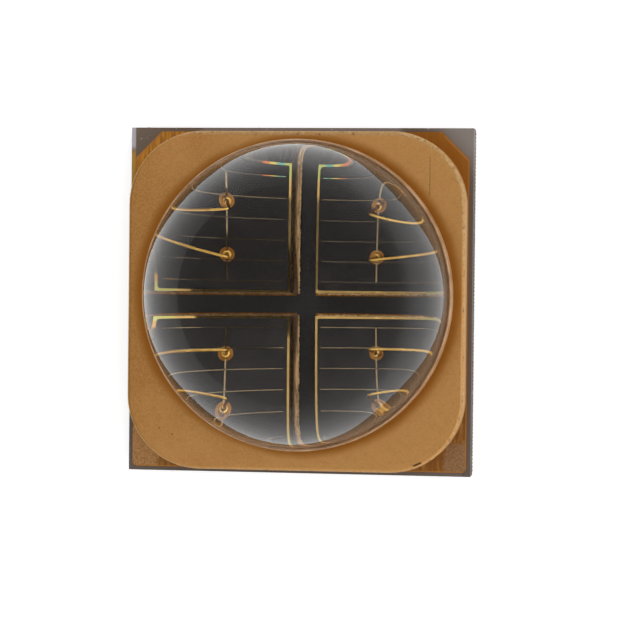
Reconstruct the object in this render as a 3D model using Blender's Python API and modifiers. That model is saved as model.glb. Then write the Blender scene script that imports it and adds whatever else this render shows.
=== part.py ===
"""Four-die infrared emitter in a square ceramic package with a glass dome.

Lengths are metres, +Z is up, and the origin is the centre of the underside.
The package is a stack: solder pads, ceramic base, gold circuit, plated frame,
bond ring and lens. Each die carries a raised mesa, a contact grid and two wires.
"""
import math

import bmesh
import bpy
from mathutils import Matrix, Vector

# Clearance kept between pieces that lie face to face
SEAT_GAP = 0.000001

# Ceramic base and the gold pads on its two faces
BASE_THICKNESS = 0.00055
UNDERSIDE_METAL = 0.00003
CIRCUIT_METAL = 0.00003
VIA_DIAMETER = 0.00016
VIA_LAND = 0.00009

# Square gold pad that the frame is brazed to, with two cut corners at the back
SEAL_MARGIN = 0.00008
SEAL_CHAMFER = 0.00055
SEAL_CORNER_RADIUS = 0.00010
SEAL_BORE_SETBACK = 0.00003

# Plated frame, set back from the edge of its pad, with a rim round the lens
FRAME_SETBACK = 0.00002
FRAME_RIM = 0.00032
FRAME_HEIGHT = 0.00066
FRAME_CORNER_RADIUS = 0.00148
FRAME_EDGE_RADIUS = 0.00007

# Glass lens: a dome on a thin flange that overlaps the frame all round
LENS_SEAT_WIDTH = 0.00030
LENS_SHIFT_X = 0.00006
LENS_SHIFT_Y = 0.00012
FLANGE_THICKNESS = 0.00030
FLANGE_LEDGE = 0.00004
FLANGE_CHAMFER = 0.00003
DOME_HEIGHT = 0.00295
BOND_THICKNESS = 0.00002
BOND_FILLET = 0.00003

# Four dies in two rows and two columns, the rows a little closer together
DIE_WIDTH = 0.00149
DIE_GAP_X = 0.00031
DIE_GAP_Y = 0.00028
DIE_THICKNESS = 0.00015
DIE_PAD_MARGIN = 0.00004
SOLDER_THICKNESS = 0.000015
SOLDER_INSET = 0.00001
BACK_METAL = 0.000003
MESA_MARGIN = 0.000028
MESA_CORNER_RADIUS = 0.00002
MESA_THICKNESS = 0.000007

# Contact grid on each mesa
FINGER_COUNT = 6
FINGER_WIDTH = 0.000012
FINGER_END_MARGIN = 0.00007
FINGER_SIDE_MARGIN = 0.000135
BUS_WIDTH = 0.000022
GRID_THICKNESS = 0.000004
BOND_SPOT_DIAMETER = 0.000176
BOND_SPOT_FINGER = 1
BOND_SPOT_INSET = 0.00006

# Gold wires from the bond spots to the wire pads
WIRE_DIAMETER = 0.000038
BALL_DIAMETER = 0.00010
BALL_HEIGHT = 0.000036
LOOP_RISE = 0.00028
STITCH_LENGTH = 0.00011
STITCH_HEIGHT = 0.00002
WIRE_PAD_GAP = 0.000075
WIRE_PAD_REACH = 0.00092
WIRE_PAD_SETBACK = 0.00030
WIRE_LANDING_INSET = 0.00017
CAVITY_CLEARANCE = 0.00010

# How strongly a wire's loop is drawn up at its start and over at its bend
LOOP_START_PULL = 1.25
LOOP_BEND_PULL = 1.15
LOOP_BEND_SHARE = 0.45

# Tab that brings each die pad out to its own via
TAB_WIDTH = 0.00026
TAB_INSET = 0.00003
TAB_GAP = 0.00005
TAB_END_LAND = 0.000045

# Solder pads on the underside
CONTACT_GAP = 0.00019
CONTACT_EDGE_MARGIN = 0.00015
THERMAL_GAP = 0.00030
THERMAL_EDGE_MARGIN = 0.00055
PAD_CORNER_RADIUS = 0.00008

# Facets
DOME_SEGMENTS = 96
DOME_RINGS = 18
BORE_SEGMENTS = 64
VIA_SEGMENTS = 12
SPOT_SEGMENTS = 16
CORNER_SEGMENTS = 10
WIRE_POINTS = 16

# Heights that follow from the stack
BASE_BOTTOM = UNDERSIDE_METAL + SEAT_GAP
BASE_TOP = BASE_BOTTOM + BASE_THICKNESS
CIRCUIT_BOTTOM = BASE_TOP + SEAT_GAP
CIRCUIT_TOP = CIRCUIT_BOTTOM + CIRCUIT_METAL
FRAME_BOTTOM = CIRCUIT_TOP + SEAT_GAP
FRAME_TOP = FRAME_BOTTOM + FRAME_HEIGHT
BOND_BOTTOM = FRAME_TOP + SEAT_GAP
LENS_BOTTOM = BOND_BOTTOM + BOND_THICKNESS + SEAT_GAP
SOLDER_BOTTOM = CIRCUIT_TOP + SEAT_GAP
DIE_BOTTOM = SOLDER_BOTTOM + SOLDER_THICKNESS + SEAT_GAP
BACK_METAL_BOTTOM = DIE_BOTTOM + DIE_THICKNESS + SEAT_GAP
MESA_BOTTOM = BACK_METAL_BOTTOM + BACK_METAL + SEAT_GAP
GRID_BOTTOM = MESA_BOTTOM + MESA_THICKNESS + SEAT_GAP
GRID_TOP = GRID_BOTTOM + GRID_THICKNESS

# Places in the die array, from its middle outwards
DIE_CENTRE_X = (DIE_GAP_X + DIE_WIDTH) / 2
DIE_CENTRE_Y = (DIE_GAP_Y + DIE_WIDTH) / 2
DIE_PAD_WIDTH = DIE_WIDTH + 2 * DIE_PAD_MARGIN
DIE_PAD_EDGE = DIE_CENTRE_X + DIE_PAD_WIDTH / 2
TAB_LOW = DIE_CENTRE_Y - DIE_PAD_WIDTH / 2 + TAB_INSET
TAB_TOP = TAB_LOW + TAB_WIDTH
TAB_VIA_Y = TAB_TOP - TAB_WIDTH / 2
WIRE_PAD_START = DIE_PAD_EDGE + WIRE_PAD_GAP
WIRE_PAD_END = WIRE_PAD_START + WIRE_PAD_REACH
WIRE_PAD_LOW = TAB_TOP + TAB_GAP
WIRE_PAD_TOP = DIE_CENTRE_Y + DIE_WIDTH / 2 - WIRE_PAD_SETBACK
WIRE_VIA_Y = WIRE_PAD_TOP - VIA_LAND
WIRE_LANDING_X = WIRE_PAD_START + WIRE_LANDING_INSET
TAB_VIA_X = WIRE_LANDING_X + VIA_LAND
FINGER_PITCH = (DIE_WIDTH - 2 * FINGER_SIDE_MARGIN) / (FINGER_COUNT - 1)
SPOT_FINGER_OFFSET = ((FINGER_COUNT - 1) / 2 - BOND_SPOT_FINGER) * FINGER_PITCH
SPOT_OFFSET = SPOT_FINGER_OFFSET - BOND_SPOT_INSET

# Lens, frame and base round the array
BORE_RADIUS = WIRE_PAD_END + CAVITY_CLEARANCE
LENS_DIAMETER = 2 * (BORE_RADIUS + LENS_SEAT_WIDTH)
FRAME_WIDTH = LENS_DIAMETER + 2 * FRAME_RIM
SEAL_WIDTH = FRAME_WIDTH + 2 * FRAME_SETBACK
BASE_WIDTH = SEAL_WIDTH + 2 * SEAL_MARGIN
CATHODE_LOW = TAB_VIA_Y - VIA_DIAMETER / 2 - VIA_LAND
ANODE_LOW = WIRE_VIA_Y - VIA_DIAMETER / 2 - VIA_LAND
CONTACT_HEIGHT = ANODE_LOW - CONTACT_GAP - CATHODE_LOW
CONTACT_INNER = WIRE_LANDING_X - VIA_DIAMETER / 2 - VIA_LAND
CONTACT_OUTER = BASE_WIDTH / 2 - CONTACT_EDGE_MARGIN
THERMAL_WIDTH = 2 * (CONTACT_INNER - THERMAL_GAP)
THERMAL_LENGTH = BASE_WIDTH - 2 * THERMAL_EDGE_MARGIN

# Each die's corner of the array, and how far its upper and lower wires drift along Y
QUADRANTS = {
    "top_left": (-1, 1, (-0.00011, 0.00025)),
    "top_right": (1, 1, (-0.00022, 0.00011)),
    "bottom_left": (-1, -1, (0.0, 0.00025)),
    "bottom_right": (1, -1, (0.0, 0.00013)),
}


def clear_scene():
    """Remove every object that the scene starts with."""
    for item in list(bpy.data.objects):
        bpy.data.objects.remove(item, do_unlink=True)


def new_collection(name):
    """Add an empty collection to the scene."""
    collection = bpy.data.collections.new(name)
    bpy.context.scene.collection.children.link(collection)
    return collection


def new_material(name, colour, metallic, roughness, transmission=0.0):
    """Make a Principled material from a linear colour."""
    material = bpy.data.materials.new(name)
    material.use_nodes = True
    shader = material.node_tree.nodes["Principled BSDF"]
    shader.inputs["Base Color"].default_value = (*colour, 1.0)
    shader.inputs["Metallic"].default_value = metallic
    shader.inputs["Roughness"].default_value = roughness
    shader.inputs["Transmission Weight"].default_value = transmission
    return material


def mesh_from(name, bm):
    """Turn a bmesh into mesh data and free it."""
    mesh = bpy.data.meshes.new(name)
    bm.to_mesh(mesh)
    bm.free()
    return mesh


def add_part(name, mesh, material, location=(0.0, 0.0, 0.0)):
    """Add one named sub-part that owns its material."""
    part = bpy.data.objects.new(name, mesh)
    part.location = location
    part.data.materials.clear()
    part.data.materials.append(material)
    PARTS.objects.link(part)
    return part


def add_cutter(name, mesh, location=(0.0, 0.0, 0.0)):
    """Add a body that only shapes other pieces."""
    cutter = bpy.data.objects.new(name, mesh)
    cutter.location = location
    cutter.display_type = "WIRE"
    cutter.hide_render = True
    CUTTERS.objects.link(cutter)
    return cutter


def boolean(target, tool, operation):
    """Join, cut or trim a piece with another body."""
    modifier = target.modifiers.new(f"{operation}_{tool.name}", "BOOLEAN")
    modifier.object = tool
    modifier.operation = operation
    modifier.solver = "EXACT"


def baked_mesh(source, name):
    """Return the evaluated mesh of an object with its doubles welded."""
    graph = bpy.context.evaluated_depsgraph_get()
    mesh = bpy.data.meshes.new_from_object(source.evaluated_get(graph))
    mesh.name = name
    bm = bmesh.new()
    bm.from_mesh(mesh)
    bmesh.ops.remove_doubles(bm, verts=bm.verts, dist=SEAT_GAP / 10)
    bmesh.ops.recalc_face_normals(bm, faces=bm.faces)
    bm.to_mesh(mesh)
    bm.free()
    return mesh


def box_bmesh(size_x, size_y, size_z):
    """Box centred in plan that stands on z = 0."""
    bm = bmesh.new()
    scale = Matrix.Diagonal((size_x, size_y, size_z, 1.0))
    lift = Matrix.Translation((0.0, 0.0, size_z / 2))
    bmesh.ops.create_cube(bm, size=1.0, matrix=lift @ scale)
    return bm


def corner_edges(bm, keep):
    """Upright edges whose plan position passes a test."""
    upright = [edge for edge in bm.edges if abs(edge.verts[0].co.z - edge.verts[1].co.z) > SEAT_GAP]
    return [edge for edge in upright if keep(edge.verts[0].co)]


def round_corners(bm, radius, segments, keep=lambda point: True):
    """Round or chamfer the upright corners that pass a test."""
    bmesh.ops.bevel(
        bm, geom=corner_edges(bm, keep), offset=radius, segments=segments,
        profile=0.5, affect="EDGES", offset_type="OFFSET",
    )


def plate_mesh(name, size_x, size_y, thickness, radius=0.0, segments=3):
    """Flat plate, with round upright corners where a radius is given."""
    bm = box_bmesh(size_x, size_y, thickness)
    if radius > 0:
        round_corners(bm, radius, segments)
    return mesh_from(name, bm)


def cylinder_mesh(name, radius, height, segments):
    """Upright cylinder that stands on z = 0."""
    bm = bmesh.new()
    bmesh.ops.create_cone(
        bm, cap_ends=True, segments=segments, radius1=radius, radius2=radius,
        depth=height, matrix=Matrix.Translation((0.0, 0.0, height / 2)),
    )
    return mesh_from(name, bm)


def turned_object(name, profile, segments):
    """Object that a Screw modifier turns from a profile of (radius, height) points."""
    mesh = bpy.data.meshes.new(name)
    points = [(radius, 0.0, height) for radius, height in profile]
    closed = profile[0][0] > 0
    edges = [(index, index + 1) for index in range(len(points) - 1)]
    if closed:
        edges.append((len(points) - 1, 0))
    mesh.from_pydata(points, edges, [])
    turned = bpy.data.objects.new(name, mesh)
    screw = turned.modifiers.new("turn", "SCREW")
    screw.steps = segments
    screw.render_steps = segments
    screw.use_merge_vertices = True
    screw.merge_threshold = SEAT_GAP / 10
    return turned


def shade_round(mesh, angle_degrees=35.0):
    """Shade a round piece smooth and keep its real edges sharp."""
    mesh.shade_smooth()
    mesh.set_sharp_from_angle(angle=math.radians(angle_degrees))


def via_places():
    """Plan positions of the eight vias, keyed by what each one feeds."""
    places = {}
    for name, (side, row, _) in QUADRANTS.items():
        places[f"wire_via_{name}"] = (side * WIRE_LANDING_X, row * WIRE_VIA_Y)
        places[f"die_via_{name}"] = (side * TAB_VIA_X, row * TAB_VIA_Y)
    return places


def build_base():
    """Ceramic base with its via holes."""
    mesh = plate_mesh("ceramic_base", BASE_WIDTH, BASE_WIDTH, BASE_THICKNESS)
    base = add_part("ceramic_base", mesh, CERAMIC, (0.0, 0.0, BASE_BOTTOM))
    drill = cylinder_mesh("via_drill", VIA_DIAMETER / 2, BASE_THICKNESS * 2, VIA_SEGMENTS)
    for name, (x, y) in via_places().items():
        place = (x, y, BASE_BOTTOM - BASE_THICKNESS / 2)
        boolean(base, add_cutter(f"drill_{name}", drill, place), "DIFFERENCE")


def build_vias():
    """Metal plugs that join the circuit to the solder pads."""
    radius = VIA_DIAMETER / 2 - SEAT_GAP
    mesh = cylinder_mesh("via", radius, BASE_THICKNESS, VIA_SEGMENTS)
    shade_round(mesh)
    for name, (x, y) in via_places().items():
        add_part(name, mesh, VIA_METAL, (x, y, BASE_BOTTOM))


def build_underside():
    """Eight contact pads in two columns and the thermal pad between them."""
    length = CONTACT_OUTER - CONTACT_INNER
    mesh = plate_mesh("contact_pad", length, CONTACT_HEIGHT, UNDERSIDE_METAL, PAD_CORNER_RADIUS)
    centre_x = (CONTACT_OUTER + CONTACT_INNER) / 2
    for name, (side, row, _) in QUADRANTS.items():
        for role, low in (("anode", ANODE_LOW), ("cathode", CATHODE_LOW)):
            place = (side * centre_x, row * (low + CONTACT_HEIGHT / 2), 0.0)
            add_part(f"{role}_pad_{name}", mesh, GOLD_PAD, place)
    size = (THERMAL_WIDTH, THERMAL_LENGTH, UNDERSIDE_METAL)
    add_part("thermal_pad", plate_mesh("thermal_pad", *size, PAD_CORNER_RADIUS), GOLD_PAD)


def build_seal_pad():
    """Gold pad under the frame: chamfered back corners, rounded front corners."""
    bm = box_bmesh(SEAL_WIDTH, SEAL_WIDTH, CIRCUIT_METAL)
    round_corners(bm, SEAL_CHAMFER, 1, keep=lambda point: point.y > SEAL_WIDTH / 4)
    round_corners(bm, SEAL_CORNER_RADIUS, 4, keep=lambda point: point.y < -SEAL_WIDTH / 4)
    pad = add_part("seal_pad", mesh_from("seal_pad", bm), CIRCUIT_GOLD, (0.0, 0.0, CIRCUIT_BOTTOM))
    radius = BORE_RADIUS + SEAL_BORE_SETBACK
    cutter = cylinder_mesh("seal_bore", radius, CIRCUIT_METAL * 3, BORE_SEGMENTS)
    place = (LENS_SHIFT_X, LENS_SHIFT_Y, CIRCUIT_BOTTOM - CIRCUIT_METAL)
    boolean(pad, add_cutter("seal_bore", cutter, place), "DIFFERENCE")


def build_frame():
    """Rounded square frame with a soft upper edge and a round bore."""
    bm = box_bmesh(FRAME_WIDTH, FRAME_WIDTH, FRAME_HEIGHT)
    round_corners(bm, FRAME_CORNER_RADIUS, CORNER_SEGMENTS)
    upper = [e for e in bm.edges if all(v.co.z > FRAME_HEIGHT / 2 for v in e.verts)]
    bmesh.ops.bevel(
        bm, geom=upper, offset=FRAME_EDGE_RADIUS, segments=3,
        profile=0.5, affect="EDGES", offset_type="OFFSET",
    )
    mesh = mesh_from("metal_frame", bm)
    shade_round(mesh)
    frame = add_part("metal_frame", mesh, FRAME_GOLD, (0.0, 0.0, FRAME_BOTTOM))
    cutter = cylinder_mesh("frame_bore", BORE_RADIUS, FRAME_HEIGHT * 2, BORE_SEGMENTS)
    place = (LENS_SHIFT_X, LENS_SHIFT_Y, FRAME_BOTTOM - FRAME_HEIGHT / 2)
    boolean(frame, add_cutter("frame_bore", cutter, place), "DIFFERENCE")


def dome_arc(base_radius, base_height):
    """Points of the dome's arc from its crown to its foot."""
    sphere = (base_radius ** 2 + DOME_HEIGHT ** 2) / (2 * DOME_HEIGHT)
    centre = base_height + DOME_HEIGHT - sphere
    sweep = math.acos((sphere - DOME_HEIGHT) / sphere)
    angles = [sweep * index / DOME_RINGS for index in range(DOME_RINGS + 1)]
    return [(sphere * math.sin(angle), centre + sphere * math.cos(angle)) for angle in angles]


def build_lens():
    """Glass dome on its flange, turned in one piece."""
    outer = LENS_DIAMETER / 2
    dome_foot = outer - FLANGE_CHAMFER - FLANGE_LEDGE
    profile = dome_arc(dome_foot, FLANGE_THICKNESS)
    profile[0] = (0.0, profile[0][1])
    profile += [
        (outer - FLANGE_CHAMFER, FLANGE_THICKNESS),
        (outer, FLANGE_THICKNESS - FLANGE_CHAMFER),
        (outer, FLANGE_CHAMFER),
        (outer - FLANGE_CHAMFER, 0.0),
        (0.0, 0.0),
    ]
    turned = turned_object("lens_profile", profile, DOME_SEGMENTS)
    CUTTERS.objects.link(turned)
    mesh = baked_mesh(turned, "dome_lens")
    bpy.data.objects.remove(turned, do_unlink=True)
    shade_round(mesh)
    add_part("dome_lens", mesh, GLASS, (LENS_SHIFT_X, LENS_SHIFT_Y, LENS_BOTTOM))


def build_bond_ring():
    """Thin ring that holds the lens to the frame, with a sloped outer edge."""
    outer = LENS_DIAMETER / 2 - FLANGE_CHAMFER
    profile = [
        (BORE_RADIUS, BOND_THICKNESS),
        (outer, BOND_THICKNESS),
        (outer + BOND_FILLET, 0.0),
        (BORE_RADIUS, 0.0),
    ]
    turned = turned_object("bond_profile", profile, BORE_SEGMENTS)
    CUTTERS.objects.link(turned)
    mesh = baked_mesh(turned, "lens_bond")
    bpy.data.objects.remove(turned, do_unlink=True)
    shade_round(mesh)
    add_part("lens_bond", mesh, BOND, (LENS_SHIFT_X, LENS_SHIFT_Y, BOND_BOTTOM))


def build_die_pad(name, side, row):
    """Pad under one die, with the tab that reaches its via."""
    mesh = plate_mesh(f"die_pad_{name}", DIE_PAD_WIDTH, DIE_PAD_WIDTH, CIRCUIT_METAL)
    place = (side * DIE_CENTRE_X, row * DIE_CENTRE_Y, CIRCUIT_BOTTOM)
    pad = add_part(f"die_pad_{name}", mesh, CIRCUIT_GOLD, place)
    tab_end = TAB_VIA_X + VIA_DIAMETER / 2 + TAB_END_LAND
    tab_mesh = plate_mesh(f"tab_{name}", tab_end - DIE_CENTRE_X, TAB_WIDTH, CIRCUIT_METAL)
    tab_place = (side * (tab_end + DIE_CENTRE_X) / 2, row * TAB_VIA_Y, CIRCUIT_BOTTOM)
    boolean(pad, add_cutter(f"tab_{name}", tab_mesh, tab_place), "UNION")


def build_wire_pad(name, side, row, cavity):
    """Pad beside one die that its two wires land on, trimmed to the cavity wall."""
    length = BORE_RADIUS - WIRE_PAD_START
    width = WIRE_PAD_TOP - WIRE_PAD_LOW
    mesh = plate_mesh(f"wire_pad_{name}", length, width, CIRCUIT_METAL)
    middle = (WIRE_PAD_TOP + WIRE_PAD_LOW) / 2
    place = (side * (WIRE_PAD_START + length / 2), row * middle, CIRCUIT_BOTTOM)
    pad = add_part(f"wire_pad_{name}", mesh, CIRCUIT_GOLD, place)
    boolean(pad, cavity, "INTERSECT")


def contact_grid_mesh():
    """Fingers, bus and bond spots of one die, joined in one thin solid."""
    bus_length = (FINGER_COUNT - 1) * FINGER_PITCH + FINGER_WIDTH
    bus = add_cutter("bus", plate_mesh("bus", BUS_WIDTH, bus_length, GRID_THICKNESS))
    length = DIE_WIDTH - 2 * FINGER_END_MARGIN
    finger = plate_mesh("finger", length, FINGER_WIDTH, GRID_THICKNESS)
    for index in range(FINGER_COUNT):
        offset = (index - (FINGER_COUNT - 1) / 2) * FINGER_PITCH
        boolean(bus, add_cutter(f"finger_{index + 1}", finger, (0.0, offset, 0.0)), "UNION")
    spot = cylinder_mesh("bond_spot", BOND_SPOT_DIAMETER / 2, GRID_THICKNESS, SPOT_SEGMENTS)
    for place, offset in (("upper", SPOT_OFFSET), ("lower", -SPOT_OFFSET)):
        boolean(bus, add_cutter(f"bond_spot_{place}", spot, (0.0, offset, 0.0)), "UNION")
    return baked_mesh(bus, "contact_grid")


def build_die(name, side, row, meshes):
    """One die from the solder up to its contact grid."""
    x, y = side * DIE_CENTRE_X, row * DIE_CENTRE_Y
    add_part(f"die_solder_{name}", meshes["solder"], SOLDER, (x, y, SOLDER_BOTTOM))
    add_part(f"die_body_{name}", meshes["body"], DIE_BODY, (x, y, DIE_BOTTOM))
    add_part(f"back_metal_{name}", meshes["back_metal"], BORDER_GOLD, (x, y, BACK_METAL_BOTTOM))
    add_part(f"emitter_mesa_{name}", meshes["mesa"], EMITTER, (x, y, MESA_BOTTOM))
    add_part(f"contact_grid_{name}", meshes["grid"], GRID_GOLD, (x, y, GRID_BOTTOM))


def wire_path(start, end):
    """Loop of a bonded wire: straight up, over a tight bend, then down to its landing."""
    reach = end - start
    rise = Vector((0.0, 0.0, LOOP_RISE))
    bend = start + rise * LOOP_BEND_PULL + reach * LOOP_BEND_SHARE
    handles = (start, start + rise * LOOP_START_PULL, bend, end)
    points = []
    for index in range(WIRE_POINTS):
        t = index / (WIRE_POINTS - 1)
        weights = ((1 - t) ** 3, 3 * t * (1 - t) ** 2, 3 * t ** 2 * (1 - t), t ** 3)
        points.append(sum((w * h for w, h in zip(weights, handles)), Vector()))
    return points


def wire_tube(name, points):
    """Round wire along a path, as a mesh with welded caps."""
    curve = bpy.data.curves.new(name, "CURVE")
    curve.dimensions = "3D"
    curve.bevel_depth = WIRE_DIAMETER / 2
    curve.bevel_resolution = 2
    curve.render_resolution_u = 0
    curve.use_fill_caps = True
    spline = curve.splines.new("POLY")
    spline.points.add(len(points) - 1)
    for target, point in zip(spline.points, points):
        target.co = (*point, 1.0)
    path = bpy.data.objects.new(name, curve)
    CUTTERS.objects.link(path)
    mesh = baked_mesh(path, name)
    bpy.data.objects.remove(path, do_unlink=True)
    return mesh


def ellipsoid_mesh(name, size_x, size_y, size_z):
    """Flattened ball centred on the origin."""
    bm = bmesh.new()
    scale = Matrix.Diagonal((size_x, size_y, size_z, 1.0))
    bmesh.ops.create_uvsphere(bm, u_segments=12, v_segments=6, radius=0.5, matrix=scale)
    return mesh_from(name, bm)


def build_wire(name, start_xy, end_xy):
    """Ball bond, looped wire and stitch bond, joined in one piece."""
    ball_centre = GRID_TOP + SEAT_GAP + BALL_HEIGHT / 2
    stitch_centre = CIRCUIT_TOP + SEAT_GAP + STITCH_HEIGHT / 2
    start = Vector((*start_xy, ball_centre))
    end = Vector((*end_xy, stitch_centre + WIRE_DIAMETER / 2))
    mesh = wire_tube(name, wire_path(start, end))
    shade_round(mesh)
    wire = add_part(name, mesh, WIRE_GOLD)
    ball = ellipsoid_mesh(f"ball_{name}", BALL_DIAMETER, BALL_DIAMETER, BALL_HEIGHT)
    boolean(wire, add_cutter(f"ball_{name}", ball, start), "UNION")
    stitch = ellipsoid_mesh(f"stitch_{name}", STITCH_LENGTH, WIRE_DIAMETER * 2, STITCH_HEIGHT)
    foot = (*end_xy, stitch_centre)
    boolean(wire, add_cutter(f"stitch_{name}", stitch, foot), "UNION")


def build_wires(name, side, row, drifts):
    """Both wires of one die."""
    for place, sign, drift in zip(("upper", "lower"), (1, -1), drifts):
        spot_y = row * DIE_CENTRE_Y + sign * SPOT_OFFSET
        start = (side * DIE_CENTRE_X, spot_y)
        end = (side * WIRE_LANDING_X, spot_y + drift)
        build_wire(f"bond_wire_{name}_{place}", start, end)


def build_array():
    """Circuit, dies and wires in the four corners of the array."""
    cavity_mesh = cylinder_mesh("cavity", WIRE_PAD_END, CIRCUIT_METAL * 3, BORE_SEGMENTS)
    place = (LENS_SHIFT_X, LENS_SHIFT_Y, CIRCUIT_BOTTOM - CIRCUIT_METAL)
    cavity = add_cutter("cavity", cavity_mesh, place)
    solder_width = DIE_WIDTH - 2 * SOLDER_INSET
    mesa_width = DIE_WIDTH - 2 * MESA_MARGIN
    meshes = {
        "solder": plate_mesh("die_solder", solder_width, solder_width, SOLDER_THICKNESS),
        "body": plate_mesh("die_body", DIE_WIDTH, DIE_WIDTH, DIE_THICKNESS),
        "back_metal": plate_mesh("back_metal", DIE_WIDTH, DIE_WIDTH, BACK_METAL),
        "mesa": plate_mesh("mesa", mesa_width, mesa_width, MESA_THICKNESS, MESA_CORNER_RADIUS, 2),
        "grid": contact_grid_mesh(),
    }
    for name, (side, row, drifts) in QUADRANTS.items():
        build_die_pad(name, side, row)
        build_wire_pad(name, side, row, cavity)
        build_die(name, side, row, meshes)
        build_wires(name, side, row, drifts)


clear_scene()
PARTS = new_collection("infrared_emitter")
CUTTERS = new_collection("cutters")

CERAMIC = new_material("grey_ceramic", (0.20, 0.175, 0.15), 0.0, 0.6)
FRAME_GOLD = new_material("satin_gold", (0.40, 0.20, 0.06), 1.0, 0.35)
CIRCUIT_GOLD = new_material("circuit_gold", (0.30, 0.13, 0.03), 1.0, 0.45)
GOLD_PAD = new_material("pad_gold", (0.60, 0.38, 0.12), 1.0, 0.35)
VIA_METAL = new_material("via_metal", (0.45, 0.36, 0.25), 1.0, 0.5)
SOLDER = new_material("gold_tin_solder", (0.45, 0.33, 0.20), 1.0, 0.4)
DIE_BODY = new_material("sawn_die", (0.10, 0.06, 0.03), 0.3, 0.6)
BORDER_GOLD = new_material("border_gold", (0.75, 0.50, 0.15), 1.0, 0.3)
EMITTER = new_material("dark_emitter", (0.02, 0.018, 0.017), 0.0, 0.3)
GRID_GOLD = new_material("grid_gold", (0.60, 0.42, 0.20), 1.0, 0.3)
WIRE_GOLD = new_material("wire_gold", (0.80, 0.50, 0.12), 1.0, 0.25)
BOND = new_material("lens_adhesive", (0.25, 0.13, 0.05), 0.0, 0.5)
GLASS = new_material("clear_glass", (1.0, 1.0, 1.0), 0.0, 0.02, transmission=1.0)

build_base()
build_vias()
build_underside()
build_seal_pad()
build_frame()
build_array()
build_bond_ring()
build_lens()
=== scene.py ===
"""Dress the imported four-die infrared emitter: finishes, fine pieces, studio and camera."""
import logging
import math
from collections.abc import Sequence
from dataclasses import dataclass
from enum import Enum
from typing import Any

import bmesh
import bpy
from mathutils import Matrix, Vector


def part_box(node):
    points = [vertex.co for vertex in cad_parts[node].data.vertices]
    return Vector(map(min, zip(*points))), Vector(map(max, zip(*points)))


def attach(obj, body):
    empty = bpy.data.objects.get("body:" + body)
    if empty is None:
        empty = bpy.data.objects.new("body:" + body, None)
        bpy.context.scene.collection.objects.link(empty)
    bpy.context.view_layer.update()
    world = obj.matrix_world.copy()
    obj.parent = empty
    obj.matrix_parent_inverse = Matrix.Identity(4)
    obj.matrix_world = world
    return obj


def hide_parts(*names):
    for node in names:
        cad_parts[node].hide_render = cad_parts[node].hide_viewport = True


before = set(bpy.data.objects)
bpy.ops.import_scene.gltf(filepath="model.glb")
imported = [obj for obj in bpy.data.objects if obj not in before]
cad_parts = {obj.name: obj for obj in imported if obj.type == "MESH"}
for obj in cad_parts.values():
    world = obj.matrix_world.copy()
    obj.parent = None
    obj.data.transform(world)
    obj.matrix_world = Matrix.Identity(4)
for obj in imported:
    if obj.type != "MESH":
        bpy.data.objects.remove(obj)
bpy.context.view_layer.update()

logging.basicConfig(level=logging.INFO, format="%(levelname)s %(message)s")
LOG = logging.getLogger("emitter")

MM = 0.001
NODES: dict[str, bpy.types.Object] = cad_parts
Colour = tuple[float, float, float]
Point = tuple[float, float, float]
Range = tuple[float, float]
Mesh = bpy.types.Mesh
Node = bpy.types.Node
Tree = bpy.types.NodeTree
Socket = bpy.types.NodeSocket
Material = bpy.types.Material
Value = Socket | float
Tint = Socket | Colour

# Vertices nearer than this many metres become one.
WELD = 1e-8
# Most values of a noise lie in the first span, and the second tells a value's sign.
NOISE_SPAN: Range = (0.3, 0.7)
SIGN_SPAN: Range = (-0.01, 0.01)


@dataclass(frozen=True)
class Span:
    """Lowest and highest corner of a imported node."""

    low: Vector
    high: Vector

    @classmethod
    def of(cls, node: str) -> "Span":
        """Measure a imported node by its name."""
        return cls(*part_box(node))

    @property
    def centre(self) -> Vector:
        """Middle of the box."""
        return (self.low + self.high) / 2

    @property
    def size(self) -> Vector:
        """Lengths of the box along X, Y and Z."""
        return self.high - self.low


class Quadrant(Enum):
    """The four dies: their side along X and how far their wires drift along Y."""

    TOP_LEFT = (-1, -0.11, 0.25)
    TOP_RIGHT = (1, -0.22, 0.11)
    BOTTOM_LEFT = (-1, 0.0, 0.25)
    BOTTOM_RIGHT = (1, 0.0, 0.13)

    @property
    def label(self) -> str:
        """The quadrant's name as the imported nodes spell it."""
        return self.name.lower()

    @property
    def side(self) -> int:
        """-1 on the left and 1 on the right."""
        return self.value[0]

    @property
    def drifts(self) -> Range:
        """How far the upper and lower wires land off their bond spots along Y, in metres."""
        return self.value[1] * MM, self.value[2] * MM

    def span(self, kind: str) -> Span:
        """Measure the die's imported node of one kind."""
        return Span.of(f"{kind}_{self.label}")


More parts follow.
